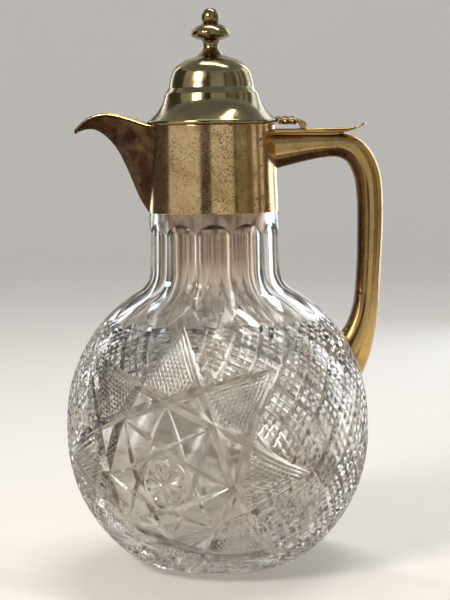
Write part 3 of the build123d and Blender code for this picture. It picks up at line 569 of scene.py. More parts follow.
def rosette_tool():
    """Twelve rays in each star's centre: V cuts that widen as w = 0.235 r, with round ends."""
    angle = np.linspace(0.5, 7.4, 9)
    far = GLOBE_R * np.radians(angle)
    past = np.clip((angle / angle[-1] - 0.72) / 0.28, 0, 1)
    wide = (0.235 * far * np.sqrt(1 - past**2) + 0.02)[:, None]
    top = np.minimum(wide * (1 + 0.12 / np.maximum(0.55 * wide, 0.12)), 0.25 * far[:, None])
    cuts = []
    for place in STAR_PLACES:
        for k in range(12):
            n = star_point(place, angle, 30 * k + 8)
            p = on_surface(n)
            side = np.cross(np.gradient(p, axis=0), n)
            side /= np.linalg.norm(side, axis=1)[:, None]
            cuts.append(np.stack([p - 0.55 * wide * n, p + 0.12 * n + top * side,
                                  p + 0.12 * n - top * side], 1))
    return lofts(cuts, ground=0.5)


def hub_tool(angle=8.6, depth=0.6, half=0.7):
    """A V cut round a circle about each star's centre."""
    bearing = np.linspace(0, 360, 73)[:-1]
    rings = []
    for place in STAR_PLACES:
        n = star_point(place, np.full(72, angle), bearing)
        out = star_point(place, np.full(72, angle + 1.0), bearing) - n
        out -= (out * n).sum(axis=1)[:, None] * n
        out *= half * (1 + 0.3 / depth) / np.linalg.norm(out, axis=1)[:, None]
        p = on_surface(n)
        rings.append(np.stack([p - depth * n, p + 0.3 * n - out, p + 0.3 * n + out], 1))
    return lofts(rings, ring=True, ground=0.5)


def glass_mesh(s):
    """The blank with every cut taken from it."""
    tools = flute_tools()
    tools += star_tools(s.star_tip, STAR_MIDDLE, s.star_depth, 1.15 * s.star_depth, 3.0)
    tools += star_tools(*INNER_STAR, 2.5)
    tools += hatch_tools(s) + lattice_tools(s) + [hub_tool(), rosette_tool()]
    mesh = cut(lathe(blank_profile(), BLANK_TURNS), *tools)
    centre, normal = np.empty((2, 3 * len(mesh.polygons)), np.float32)
    mesh.polygons.foreach_get("center", centre)
    mesh.polygons.foreach_get("normal", normal)
    centre, normal = centre.reshape(-1, 3), normal.reshape(-1, 3)
    centre[:, 2] -= np.clip(centre[:, 2], LOWER_CENTRE_Z * MM, None)
    inward = (centre * normal).sum(axis=1) < 0
    mesh.attributes.new("bore", "FLOAT", "FACE").data.foreach_set("value", inward.astype(np.float32))
    return mesh


# Mount and lid ------------------------------------------------------------------------------------


def cone_radius(z):
    """The collar's outer radius at a height."""
    return COLLAR_FOOT_R + (z - GLASS_STEP_Z) / (COLLAR_TOP_Z - GLASS_STEP_Z) * (
        COLLAR_TOP_R - COLLAR_FOOT_R)


def collar_core():
    """Everything within the collar's outer surface, carried on past both edges."""
    return lathe(run((0, 150), (cone_radius(150), 150), (cone_radius(226), 226), (0, 226)), 180)


def ball(radius):
    """The globe's upper ball as a whole ball of some radius."""
    return lathe(arc((0, UPPER_CENTRE_Z), radius, -90, 90, 91), 180)


def cone_ring(low_z, high_z, outside, inside_r=None, soft=0.25):
    """A ring's profile under the collar's cone: outside is how far in its outer face lies."""
    low, high = cone_radius(low_z) - outside, cone_radius(high_z) - outside
    in_low = low - COLLAR_WALL if inside_r is None else inside_r
    in_high = high - COLLAR_WALL if inside_r is None else inside_r
    return softened([(low, low_z), (high, high_z), (in_high, high_z), (in_low, low_z)], soft)


def spout_sections(inset=0.0, lift=0.0, count=48):
    """Upright sections of the spout: a rounded keel, two slightly bulging sides, a flat top.

    From the keel's corner to the edge each side is y = k + a t + bulge 4t(1-t), z likewise, over a
    short round keel y = k sin q, z = rise (1 - cos q).
    """
    x, keel, edge, half = smooth_line(SPOUT_STATIONS, count).T[..., None]
    keel = keel + inset
    half = half - inset
    k = np.minimum(2.4, 0.5 * half)
    rise = np.minimum(0.4 * k, 0.3 * (edge - keel))
    q = np.linspace(0, np.pi / 2, 8)[None, :-1]
    t = np.linspace(0, 1, 16)[None, :]
    across, up = half - k, edge - keel - rise
    y = np.concatenate([k * np.sin(q), k + across * t + 0.2 * up * t * (1 - t)], 1)
    z = np.concatenate([keel + rise * (1 - np.cos(q)),
                        keel + rise + up * t - 0.2 * across * t * (1 - t)], 1)
    z[:, -1] += lift
    y, z = (np.concatenate([v, w[:, :0:-1]], 1) for v, w in ((y, -y), (z, z)))
    return np.stack([x + 0 * y, y, z], 2)


def spout_lip():
    """A rolled wire along both top edges and round the tip, thinner towards the tip."""
    x, keel, edge, half = smooth_line(SPOUT_STATIONS, 60).T
    side = np.stack([x, half - 0.35, edge - 0.15], 1)
    swing = np.linspace(0, np.pi, 9)[1:-1]
    end = np.stack([x[-1] - 0.4 * np.sin(swing), (half[-1] - 0.35) * np.cos(swing),
                    edge[-1] - 0.15 - (edge[-1] - keel[-1] - 0.4) * np.sin(swing)], 1)
    path = np.concatenate([side, end, side[::-1] * (1, -1, 1)])
    size = np.interp(path[:, 0], (-64.4, -50.0, -33.0, -30.0, -28.5), (0.85, 1.0, 0.95, 0.7, 0.35))
    return lofts([tube(path, size, 12)])


def handle_sections(inset=0.0, count=150, around=64):
    """Ovals across the handle's centre line: half depth cos a up the section, half width sin a."""
    x, z, lean, depth, width = smooth_line(HANDLE_STATIONS, count).T[..., None]
    lean = np.radians(lean)
    a = np.linspace(0, 2 * np.pi, around, endpoint=False)[None, :]
    up, across = (depth / 2 - inset) * np.cos(a), (width / 2 - inset) * np.sin(a)
    return np.stack([x - np.sin(lean) * up, across, z + np.cos(lean) * up], 2)


def rest_sections(count=72, around=36):
    """The thumb rest: sections |y / w|^5 + |z / t|^5 = 1 along a line that turns up at its end."""
    start, end = REST_ENDS
    x = start + (end - start) * (1 - (1 - np.linspace(0, 1, count)) ** 2.0)
    line, wide = smooth_line(REST_LINE, 300), smooth_line(REST_WIDTHS, 300)
    centre, w = np.interp(x, *line.T), np.interp(x, *wide.T)
    near_end = np.clip((end - x) / 5.5, 0, 1)
    w = (w * np.sqrt(1 - (1 - near_end) ** 2) + 0.02)[:, None]
    t = (1.2 - 0.7 * np.clip((x - 58) / 13, 0, 1))[:, None]
    tilt = np.arctan(np.gradient(centre, x))[:, None]
    a = np.linspace(0, 2 * np.pi, around, endpoint=False)
    y, up = (size * np.sign(v) * np.abs(v) ** 0.4 for size, v in ((w, np.cos(a)), (t, np.sin(a))))
    return np.stack([x[:, None] - np.sin(tilt) * up, y, centre[:, None] + np.cos(tilt) * up], 2)


def lid_line():
    """The lid's outer line from the stud down: dome, a soft step, and the hollow flare."""
    dome = smooth_line(LID_DOME, 90)
    dome = dome[dome[:, 0] > STUD_HOLE_R]
    flare = smooth_line(LID_FLARE, 46)
    step = dome[-1] + (flare[0] - dome[-1]) * np.array([[0.12], [0.25], [0.5], [0.75], [0.88]])
    return run((STUD_HOLE_R, LID_DOME[0][1]), dome, step, flare)


def lid_profile():
    """The lid's sheet as a ring's profile: the outer line out, and back a wall further in."""
    outer = lid_line()
    ahead = np.gradient(outer, axis=0)
    ahead /= np.hypot(*ahead.T)[:, None]
    inner = outer + LID_WALL * np.stack([ahead[:, 1], -ahead[:, 0]], 1)
    inner[0, 0] = STUD_HOLE_R
    foot_r = np.interp(-RIM_TOP_Z, -inner[:, 1], inner[:, 0])
    return run(outer, (foot_r, RIM_TOP_Z), inner[inner[:, 1] > RIM_TOP_Z + 0.1][::-1])


def lid_body():
    """The lid and its rim as one solid, for fitting the leaf to them."""
    return lathe(run((0, LID_DOME[0][1]), lid_line(), (RIM_R, RIM_TOP_Z), (RIM_R, RIM_BOTTOM_Z),
                     (0, RIM_BOTTOM_Z)), 180)


def leaf_sections(count=110, around=44):
    """The cast leaf, wrapped over the tab: ovals whose size swells into a row of round lobes.

    A section is y = w c |c|^-0.25 and z = middle + h s |s|^-0.2 for the cosine c and sine s round
    it, times 1 + 0.17 (|sin p| - 0.6) + 0.05 sin q. The phases p and q run along the leaf; p slants
    back at the sides and q winds round it.
    """
    x = np.linspace(29.0, 42.4, count)[:, None]
    a = np.linspace(0, 2 * np.pi, around, endpoint=False)[None, :]
    c, s = np.cos(a), np.sin(a)
    wide = np.interp(x, (29, 31.5, 35.5, 39, 41.4, 42.4), (5.8, 7.1, 7.3, 6.8, 5.6, 4.8))
    high = np.interp(x, (29, 31, 35, 38.3, 39.6, 40.9, 42.4), (2.1, 2.2, 2.35, 2.25, 1.75, 1.0, 0.4))
    low = np.interp(x, (29, 31.1, 31.6, 39.3, 40.6, 41.2, 42.4), (0.2, 0.5, 1.6, 1.6, 0.75, 0.05, -0.15))
    swell = 1 + 0.17 * (np.abs(np.sin(np.pi * (x - 29.4) / 3.7 + 0.9 * np.abs(c))) - 0.6)
    swell = swell + 0.05 * np.sin(2.1 * x + 3 * a)
    y = wide * np.sign(c) * np.abs(c) ** 0.75 * swell
    z = np.where(s > 0, high, low) * np.sign(s) * np.abs(s) ** 0.8 * swell
    return np.stack([x + 0 * a, y, LEAF_MIDDLE_Z + z], 2)


def stem_profile():
    """The finial's waisted stem, bored for the stud, with a spreading foot."""
    side = smooth_line(((8.0, 243.0), (7.2, 243.3), (6.4, 243.75), (5.6, 244.5), (4.9, 245.4),
                        (4.3, 246.4), (3.8, 247.4), (3.6, 248.4), (3.75, 249.5), (4.2, 250.68)), 48)
    return run((STUD_HOLE_R, 243.0), side, (STUD_HOLE_R, 250.7))


def knop_profile():
    """The mushroom knop, bored for the stud."""
    side = smooth_line(((4.3, 250.7), (5.6, 251.25), (7.2, 251.8), (8.5, 252.45), (9.2, 253.2),
                        (9.4, 254.0), (9.2, 254.9), (8.6, 255.75), (7.85, 256.5), (6.9, 257.2),
                        (5.8, 257.8), (4.7, 258.4), (3.6, 259.1)), 68)
    return run((STUD_HOLE_R, 250.7), side, (STUD_HOLE_R, 259.1))


# Materials ----------------------------------------------------------------------------------------


class Tree:
    """Places nodes of a material or group in columns and links them by name."""

    def __init__(self, tree):
        self.tree = tree
        self.count = 0

    def add(self, kind, inputs=(), **settings):
        """A node with its settings; an input is a value or another node's output."""
        made = self.tree.nodes.new(kind)
        made.location = (220 * (self.count // 4), -260 * (self.count % 4))
        self.count += 1
        for key, value in settings.items():
            setattr(made, key, value)
        for key, value in dict(inputs).items():
            if isinstance(value, bpy.types.NodeSocket):
                self.tree.links.new(value, made.inputs[key])
            else:
                made.inputs[key].default_value = value
        return made

    def noise(self, vector, scale, detail=3.0, rough=0.55, warp=0.0):
        """The value of a noise over a vector."""
        return self.add("ShaderNodeTexNoise", {"Vector": vector, "Scale": scale, "Detail": detail,
                                               "Roughness": rough, "Distortion": warp}).outputs[0]

    def ramp(self, value, low, high, to_low=0.0, to_high=1.0):
        """A value moved from one range to another and held within it."""
        return self.add("ShaderNodeMapRange", {"Value": value, "From Min": low, "From Max": high,
                                               "To Min": to_low, "To Max": to_high}).outputs[0]

    def sum(self, kind, a, b):
        """Two values joined by a sum of some kind."""
        return self.add("ShaderNodeMath", {0: a, 1: b}, operation=kind).outputs[0]

    def mix(self, share, a, b):
        """Two colours mixed by a share; 6, 7 and 2 are the Mix node's colour sockets."""
        return self.add("ShaderNodeMix", {0: share, 6: a, 7: b}, data_type="RGBA").outputs[2]

    def join(self, output, socket):
        self.tree.links.new(output, socket)


def new_group(name, inputs, outputs):
    """An empty node group with named sockets, its tree, its input node and its output node."""
    group = bpy.data.node_groups.new(name, "ShaderNodeTree")
    for label, kind, value in inputs:
        socket = group.interface.new_socket(label, in_out="INPUT", socket_type=kind)
        socket.default_value = value
    for label, kind in outputs:
        group.interface.new_socket(label, in_out="OUTPUT", socket_type=kind)
    tree = Tree(group)
    return tree, tree.add("NodeGroupInput").outputs, tree.add("NodeGroupOutput").inputs


def plate_wear_group():
    """Old plate: brass showing through in patches, brown toned blotches at random, and painted shade on
    the side that faces away.
    """
    tree, given, made = new_group("Plate wear", (
        ("Plate", "NodeSocketColor", (0.7, 0.6, 0.4, 1)),
        ("Brass", "NodeSocketColor", (0.6, 0.42, 0.16, 1)),
        ("Toning and shade", "NodeSocketColor", (0.12, 0.07, 0.04, 1)),
        ("Scale", "NodeSocketFloat", 1.0),
        ("Worn", "NodeSocketFloat", 0.5),
        ("Toned", "NodeSocketFloat", 0.3),
        ("Underside shade", "NodeSocketFloat", 0.5),
        ("Away", "NodeSocketVector", (0.0, 0.0, -1.0)),
    ), (("Color", "NodeSocketColor"), ("Roughness", "NodeSocketFloat"), ("Height", "NodeSocketFloat")))
    where = tree.add("ShaderNodeTexCoord").outputs
    spread = tree.add("ShaderNodeVectorMath", {0: where["Object"], "Scale": given["Scale"]},
                      operation="SCALE").outputs[0]
    patches = tree.noise(spread, 42.0, 5.0, 0.6, 0.6)
    worn = tree.ramp(tree.sum("ADD", patches, tree.sum("MULTIPLY", given["Worn"], 0.35)), 0.52, 0.8)
    blotches = tree.noise(spread, 95.0, 6.0, 0.65, 0.3)
    # Painted shade: faces turned towards Away are darkened to the toned colour by the Underside share,
    # standing in for dark surroundings reflected underneath.
    facing = tree.add("ShaderNodeVectorMath", {0: where["Normal"], 1: given["Away"]},
                      operation="DOT_PRODUCT").outputs["Value"]
    below = tree.ramp(facing, 0.08, 0.28)
    toned = tree.ramp(tree.sum("ADD", blotches, tree.sum("MULTIPLY", given["Toned"], 0.4)), 0.6, 0.95)
    under = tree.sum("MULTIPLY", tree.sum("MULTIPLY", below, given["Underside shade"]),
                     tree.ramp(blotches, 0.2, 0.6, 0.75, 1.0))
    # The darker of the random toned blotches, which are real, and the painted underside shade.
    toning_and_shade = tree.sum("MAXIMUM", tree.sum("MULTIPLY", toned, 0.7), under)
    streaks = tree.noise(tree.add("ShaderNodeMapping", {
        "Vector": spread, "Scale": (900.0, 900.0, 120.0)}).outputs[0], 1.0, 2.0, 0.5)
    tree.join(tree.mix(toning_and_shade, tree.mix(worn, given["Plate"], given["Brass"]), given["Toning and shade"]),
              made["Color"])
    base = tree.ramp(blotches, 0.3, 0.75, 0.07, 0.2)
    rough = tree.sum("ADD", tree.sum("ADD", base, tree.sum("MULTIPLY", toning_and_shade, 0.16)),
                     tree.ramp(streaks, 0.4, 0.75, 0.0, 0.06))
    tree.join(rough, made["Roughness"])
    dents = tree.sum("MULTIPLY", tree.noise(spread, 30.0, 2.0, 0.4), 3.0)
    tree.join(tree.sum("ADD", dents, tree.sum("MULTIPLY", streaks, 0.035)), made["Height"])
    return tree.tree


def pitting_group():
    """Corrosion pits: dark specks crowded where a broad noise is high, and a few large spots."""
    tree, given, made = new_group("Pitting", (
        ("Color", "NodeSocketColor", (0.6, 0.5, 0.3, 1)),
        ("Pit color", "NodeSocketColor", (0.1, 0.06, 0.03, 1)),
        ("Speck size", "NodeSocketFloat", 1.0),
        ("Amount", "NodeSocketFloat", 0.5),
    ), (("Color", "NodeSocketColor"), ("Pits", "NodeSocketFloat")))
    where = tree.add("ShaderNodeTexCoord").outputs["Object"]
    wander = tree.add("ShaderNodeTexNoise", {"Vector": where, "Scale": 900.0}).outputs[1]
    bent = tree.add("ShaderNodeVectorMath", {
        0: where, 1: tree.add("ShaderNodeVectorMath", {0: wander, "Scale": 0.0006},
                              operation="SCALE").outputs[0]}).outputs[0]
    crowd = tree.ramp(tree.noise(where, 70.0, 3.0, 0.6), 0.34, 0.62)
    crowd = tree.sum("MULTIPLY", crowd, given["Amount"])
    few = tree.sum("MULTIPLY", given["Amount"], 0.07)
    masks = []
    for cells, core, limit in ((1900.0, 0.74, crowd), (360.0, 0.36, few)):
        cell = tree.add("ShaderNodeTexVoronoi", {
            "Vector": bent, "Scale": tree.sum("DIVIDE", cells, given["Speck size"])}).outputs
        chosen = tree.add("ShaderNodeSeparateColor", {0: cell["Color"]}).outputs
        dot = tree.sum("LESS_THAN", cell["Distance"], tree.sum("MULTIPLY", chosen["Green"], core))
        masks.append(tree.sum("MULTIPLY", dot, tree.sum("LESS_THAN", chosen["Red"], limit)))
    pits = tree.sum("MAXIMUM", *masks)
    stained = tree.sum("MULTIPLY", crowd, tree.ramp(tree.noise(where, 260.0, 4.0, 0.65), 0.4, 0.7))
    share = tree.sum("MAXIMUM", tree.sum("MULTIPLY", pits, 0.85),
                     tree.sum("MULTIPLY", stained, 0.2))
    tree.join(tree.mix(share, given["Color"], given["Pit color"]), made["Color"])
    tree.join(pits, made["Pits"])
    return tree.tree


def plate_material(name, plate, brass, wear=(1.0, 0.5, 0.3, 0.4), pits=0.0,
                   toning_and_shade=(0.10, 0.055, 0.03), away=(0.0, 0.0, -1.0)):
    """Worn silver plate over brass; wear is scale, worn, toned and the share of painted underside shade
    on the side that faces away.
    """
    material = bpy.data.materials.new(name)
    material.use_nodes = True
    shader = material.node_tree.nodes["Principled BSDF"]
    tree = Tree(material.node_tree)
    groups = bpy.data.node_groups
    worn = tree.add("ShaderNodeGroup", node_tree=groups.get("Plate wear") or plate_wear_group())
    for key, value in zip(("Plate", "Brass", "Toning and shade", "Scale", "Worn", "Toned", "Underside shade", "Away"),
                          (tuple(plate) + (1,), tuple(brass) + (1,), toning_and_shade + (1,)) + wear + (away,)):
        worn.inputs[key].default_value = value
    colour, rough, height = worn.outputs
    if pits:
        spotted = tree.add("ShaderNodeGroup", node_tree=groups.get("Pitting") or pitting_group())
        spotted.inputs["Amount"].default_value = pits
        tree.join(colour, spotted.inputs["Color"])
        colour = spotted.outputs["Color"]
        rough = tree.sum("ADD", rough, tree.sum("MULTIPLY", spotted.outputs["Pits"], 0.35))
        height = tree.sum("SUBTRACT", height, tree.sum("MULTIPLY", spotted.outputs["Pits"], 0.06))
    bump = tree.add("ShaderNodeBump", {"Height": height, "Strength": 0.35, "Distance": 0.0001})
    shader.inputs["Metallic"].default_value = 1.0
    for output, socket in ((colour, "Base Color"), (rough, "Roughness"), (bump.outputs[0], "Normal")):
        tree.join(output, shader.inputs[socket])
    return material


def glass_material(s):
    """Clear lead glass: bright outside, faintly dull in the cuts and painted darker there, hazed and
    stained inside; its warm tint is painted too.
    """
    material = bpy.data.materials.new("cut glass")
    material.use_nodes = True
    shader = material.node_tree.nodes["Principled BSDF"]
    tree = Tree(material.node_tree)
    where = tree.add("ShaderNodeTexCoord").outputs["Object"]
    ground, bore = (tree.add("ShaderNodeAttribute", attribute_name=name).outputs["Fac"]
                    for name in ("ground", "bore"))
    film = tree.ramp(tree.noise(where, 60.0, 5.0, 0.6), 0.45, 0.8)
    high = tree.ramp(tree.add("ShaderNodeSeparateXYZ", {0: where}).outputs["Z"], 0.10, 0.15)
    # The glass colour's warm tint is painted colour of warm surroundings seen through it.
    clear, cuts, stain = (tuple(c) + (1,) for c in (s.tint, s.cut_shade_tint, s.stain))
    # Painted shade: the cuts take a darker, warmer colour, more where they are ground deeper, standing
    # in for the darker look of the cut channels.
    colour = tree.mix(tree.sum("MULTIPLY", ground, 0.8), clear, cuts)
    streaks = tree.ramp(tree.noise(tree.add("ShaderNodeMapping", {
        "Vector": where, "Scale": (240.0, 240.0, 12.0)}).outputs[0], 1.0, 3.0), 0.35, 0.6, 0.7, 1.0)
    share = tree.sum("MULTIPLY", bore, tree.sum("MAXIMUM", tree.sum("MULTIPLY", high, streaks),
                                                tree.sum("MULTIPLY", film, 0.12)))
    tree.join(tree.mix(share, colour, stain), shader.inputs["Base Color"])
    haze = tree.sum("MULTIPLY", bore, tree.ramp(film, 0.0, 1.0, 0.13, 0.2))
    dull = tree.sum("MULTIPLY", ground, tree.ramp(film, 0.0, 1.0, 0.10, 0.16))
    tree.join(tree.sum("MAXIMUM", haze, dull), shader.inputs["Roughness"])
    wave = tree.noise(where, 110.0, 2.0, 0.4)
    bump = tree.add("ShaderNodeBump", {"Height": wave, "Strength": 0.2, "Distance": 0.0002})
    tree.join(bump.outputs[0], shader.inputs["Normal"])
    shader.inputs["IOR"].default_value = 1.54
    shader.inputs["Transmission Weight"].default_value = 1.0
    return material


def plaster_material():
    """Chalky cement, grained and slightly stained."""
    material = bpy.data.materials.new("plaster")
    material.use_nodes = True
    shader = material.node_tree.nodes["Principled BSDF"]
    tree = Tree(material.node_tree)
    where = tree.add("ShaderNodeTexCoord").outputs["Object"]
    stain = tree.ramp(tree.noise(where, 150.0, 4.0), 0.35, 0.7)
    grain = tree.noise(where, 2500.0, 2.0)
    bump = tree.add("ShaderNodeBump", {"Height": grain, "Strength": 0.4, "Distance": 0.0002})
    tree.join(tree.mix(stain, (0.82, 0.79, 0.72, 1), (0.66, 0.6, 0.5, 1)),
              shader.inputs["Base Color"])
    tree.join(bump.outputs[0], shader.inputs["Normal"])
    shader.inputs["Roughness"].default_value = 0.9
    return material


# Settings -----------------------------------------------------------------------------------------


def size(name, description, default, low, high):
    """A number for the sidebar."""
    return bpy.props.FloatProperty(name=name, description=description, default=default, min=low,
                                   max=high, step=5)


def tone(name, description, default):
    """A colour for the sidebar."""
    return bpy.props.FloatVectorProperty(name=name, description=description, default=default,
                                         subtype="COLOR", size=3, min=0.0, max=1.0)


def power(name, description, default):
    """A lamp's power for the sidebar."""
    return bpy.props.FloatProperty(name=name, description=description, default=default, min=0.0,
                                   unit="POWER")


class JugGlassSettings(bpy.types.PropertyGroup):
    star_tip: size("Star size", "Angle from a big star's centre to its tips, in degrees",
                   54.35, 30, 60)
    star_depth: size("Star depth", "Depth of the star's long cuts, in millimetres", 2.4, 0.5, 3.5)
    lattice_pitch: size("Lattice pitch", "Distance between the deep lattice lines, in millimetres",
                        12.5, 8, 20)
    lattice_depth: size("Lattice depth", "Depth of the deep lattice lines, in millimetres",
                        1.8, 0.5, 3)
    hobnail_depth: size("Hobnail depth", "Depth of the fine lattice lines, in millimetres",
                        0.8, 0.3, 2)
    hatch_pitch: size("Hatch pitch", "Distance between hatch lines in the kites, in millimetres",
                      1.9, 1, 4)
    hatch_depth: size("Hatch depth", "Depth of the hatch lines, in millimetres", 0.75, 0.2, 1.5)
    # Painted colour: the warm tint stands in for warm surroundings seen through the glass.
    tint: tone("Glass", "Colour of the glass", (0.98, 0.955, 0.905))
    # Painted shade for the cut channels.
    cut_shade_tint: tone("Cuts", "Colour of the glass where it is cut deep", (0.78, 0.70, 0.60))
    stain: tone("Stain", "Colour of the wine stain inside the neck", (0.45, 0.31, 0.21))


class JugMountSettings(bpy.types.PropertyGroup):
    collar: tone("Collar", "Plate colour of the collar", (0.98, 0.73, 0.41))
    # Painted shade: set far darker than the collar's plate for the dark surroundings the spout reflects.
    spout: tone("Spout", "Plate colour of the spout", (0.40, 0.26, 0.13))
    brass: tone("Brass", "Colour of the brass under the plate", (0.66, 0.43, 0.16))
    # Partly the lid's own olive tone, partly painted shade: set darker than the collar's plate for the
    # dark surroundings the lid reflects.
    lid: tone("Lid", "Plate colour of the lid", (0.33, 0.275, 0.15))
    handle: tone("Handle", "Plate colour of the handle", (0.52, 0.375, 0.16))
    leaf: tone("Leaf", "Colour of the cast leaf", (0.38, 0.295, 0.155))


class JugStageSettings(bpy.types.PropertyGroup):
    floor: tone("Floor", "Colour of the floor and backdrop", (0.82, 0.79, 0.75))
    sky: tone("Sky", "Colour of the light from all round", (0.60, 0.64, 0.70))
    overhead: tone("Overhead", "Colour of the light from straight above", (0.24, 0.255, 0.28))
    card: tone("Cards", "Colour of the cards behind the jug", (0.17, 0.115, 0.075))
    window: tone("Windows", "Colour of the bright cards behind the jug", (0.78, 0.88, 1.0))
    key: power("Key light", "Power of the main softbox, in watts", 8.0)
    fill: power("Fill light", "Power of the softbox behind, in watts", 1.6)
    top: power("Top light", "Power of the softbox above, in watts", 7.0)


# Operators ----------------------------------------------------------------------------------------


def put(name, data):
    """A new object in the scene."""
    made = bpy.data.objects.new(name, data)
    bpy.context.scene.collection.objects.link(made)
    return made


class JUG_OT_cut_glass(bpy.types.Operator):
    """Add the cut-glass body"""
    bl_idname = "jug.cut_glass"
    bl_label = "Cut glass"

    def execute(self, context):
        s = context.scene.jug_glass
        add_piece("cut_glass_body", glass_mesh(s), "root", glass_material(s), ("glass_body",),
                  12.0)
        return {"FINISHED"}


class JUG_OT_collar(bpy.types.Operator):
    """Add the collar, its inner rings and the plaster under it"""
    bl_idname = "jug.collar"
    bl_label = "Collar"

    def execute(self, context):
        s = context.scene.jug_mount
        plate = plate_material("collar plate", s.collar, s.brass, (1.0, 0.3, 0.15, 0.0), 0.9)
        band = lathe(cone_ring(GLASS_STEP_Z, COLLAR_TOP_Z, 0.0), 192, ring=True)
        window = cut(lofts([spout_sections(SPOUT_WALL, CHANNEL_LIFT)]), block(*SPOUT_HOLE),
                     operation="INTERSECT")
        add_piece("collar_sheet", cut(band, window), "root", plate, ("collar_band",))
        inside_r = cone_radius(COLLAR_TOP_Z) - COLLAR_WALL - 0.9
        seat = cone_ring(206.6, COLLAR_TOP_Z, COLLAR_WALL, inside_r, 0.2)
        add_piece("collar_seat", lathe(seat, 160, ring=True), "root", plate, ("collar_seat_ring",))
        floor = cone_ring(GLASS_RIM_Z, GLASS_RIM_Z + 0.8, COLLAR_WALL + 0.1, BORE_R, 0.15)
        add_piece("collar_floor", lathe(floor, 160, ring=True), "root", plate,
                  ("collar_floor_ring",))
        filling = cone_ring(GLASS_STEP_Z, GLASS_RIM_Z - 0.4, COLLAR_WALL, GLASS_SEAT_R, 0.1)
        add_piece("plaster_ring", lathe(filling, 120, ring=True), "root", plaster_material(),
                  ("neck_plaster",))
        return {"FINISHED"}


class JUG_OT_spout(bpy.types.Operator):
    """Add the beak spout with its rolled lip"""
    bl_idname = "jug.spout"
    bl_label = "Spout"

    def execute(self, context):
        s = context.scene.jug_mount
        # Painted shade: the spout's plate and toned colours are set very dark and its underside gets
        # full painted shade, for the dark surroundings it reflects.
        plate = plate_material("spout plate", s.spout, s.brass, (1.4, 0.3, 0.2, 1.0), 0.12,
                               (0.038, 0.017, 0.014), (-0.5, 0.0, -0.87))
        shell = cut(lofts([spout_sections()]), lofts([spout_sections(SPOUT_WALL, CHANNEL_LIFT)]))
        shell = cut(cut(shell, spout_lip(), operation="UNION"), collar_core())
        add_piece("spout_beak", shell, "root", plate, ("spout_shell",))
        return {"FINISHED"}


class JUG_OT_handle(bpy.types.Operator):
    """Add the hollow handle and the dished cap at its foot"""
    bl_idname = "jug.handle"
    bl_label = "Handle"

    def execute(self, context):
        s = context.scene.jug_mount
        # Painted shade: the handle's lower side is darkened to dark brown, standing in for the dark
        # surroundings it reflects.
        plate = plate_material("handle plate", s.handle, s.brass, (0.9, 0.5, 0.2, 0.95), 0.08,
                               (0.075, 0.036, 0.018), (-0.6, 0.0, -0.8))
        foot_ball = GLOBE_R + FOOT_CAP_GAP
        hollow = cut(lofts([handle_sections()]), lofts([handle_sections(HANDLE_WALL)]),
                     collar_core(), ball(foot_ball + FOOT_CAP_THICK))
        add_piece("handle_hollow", hollow, "root", plate, ("handle_tube",))
        cap = cut(lofts([handle_sections()]), ball(foot_ball + FOOT_CAP_THICK),
                  operation="INTERSECT")
        add_piece("handle_foot", cut(cap, ball(foot_ball)), "root", plate, ("handle_foot_cap",))
        return {"FINISHED"}


class JUG_OT_thumb_rest(bpy.types.Operator):
    """Add the strip along the top of the handle, with the rib below it"""
    bl_idname = "jug.thumb_rest"
    bl_label = "Thumb rest"

    def execute(self, context):
        s = context.scene.jug_mount
        # The strip's underside gets painted shade.
        plate = plate_material("thumb rest plate", tuple(min(1, 1.08 * c) for c in s.handle),
                               s.brass, (1.2, 0.5, 0.2, 0.5))
        strip = cut(lofts([rest_sections()]), block(*REST_RIB), operation="UNION")
        strip = cut(strip, collar_core(), lofts([handle_sections()]))
        add_piece("thumb_strip", strip, "root", plate, ("thumb_rest",))
        return {"FINISHED"}


class JUG_OT_lid(bpy.types.Operator):
    """Add the lid's sheet, rim and locating ring"""
    bl_idname = "jug.lid"
    bl_label = "Lid"

    def execute(self, context):
        s = context.scene.jug_mount
        # The lid's colour carries painted shade, and its underside gets painted shade as well.
        plate = plate_material("lid plate", s.lid, s.brass, (0.8, 0.1, 0.2, 0.5), 0.05)
        add_piece("lid_dome", lathe(lid_profile(), 192, ring=True), "lid", plate, ("lid_shell",),
                  50.0)
        middle_z, half = (RIM_BOTTOM_Z + RIM_TOP_Z) / 2, (RIM_TOP_Z - RIM_BOTTOM_Z) / 2
        bead = arc((0, 0), 1, -90, 90, 13) * (0.5, half) + (RIM_R - 0.5, middle_z)
        add_piece("lid_rim", lathe(run((RIM_BORE_R, RIM_TOP_Z), (RIM_BORE_R, RIM_BOTTOM_Z), bead),
                                   192, ring=True), "lid", plate, ("lid_rim_band",))
        ring = softened([(26.9, 207.2), (27.8, 207.2), (27.8, 211.7), (28.3, 211.7), (28.3, 213.3),
                         (26.9, 213.3)], 0.15)
        add_piece("lid_locator", lathe(ring, 160, ring=True), "lid", plate, ("lid_locating_ring",))
        return {"FINISHED"}


class JUG_OT_leaf(bpy.types.Operator):
    """Add the cast leaf over the hinge"""
    bl_idname = "jug.leaf"
    bl_label = "Leaf"

    def execute(self, context):
        s = context.scene.jug_mount
        # The leaf's underside gets painted shade; its toned blotches are real.
        cast = plate_material("cast leaf", s.leaf, s.brass, (3.0, 0.3, 1.0, 0.6), 0.1)
        leaf = cut(lofts([leaf_sections()]), lid_body())
        add_piece("leaf_cast", leaf, "lid", cast, ("tab_leaf",), 60.0)
        return {"FINISHED"}


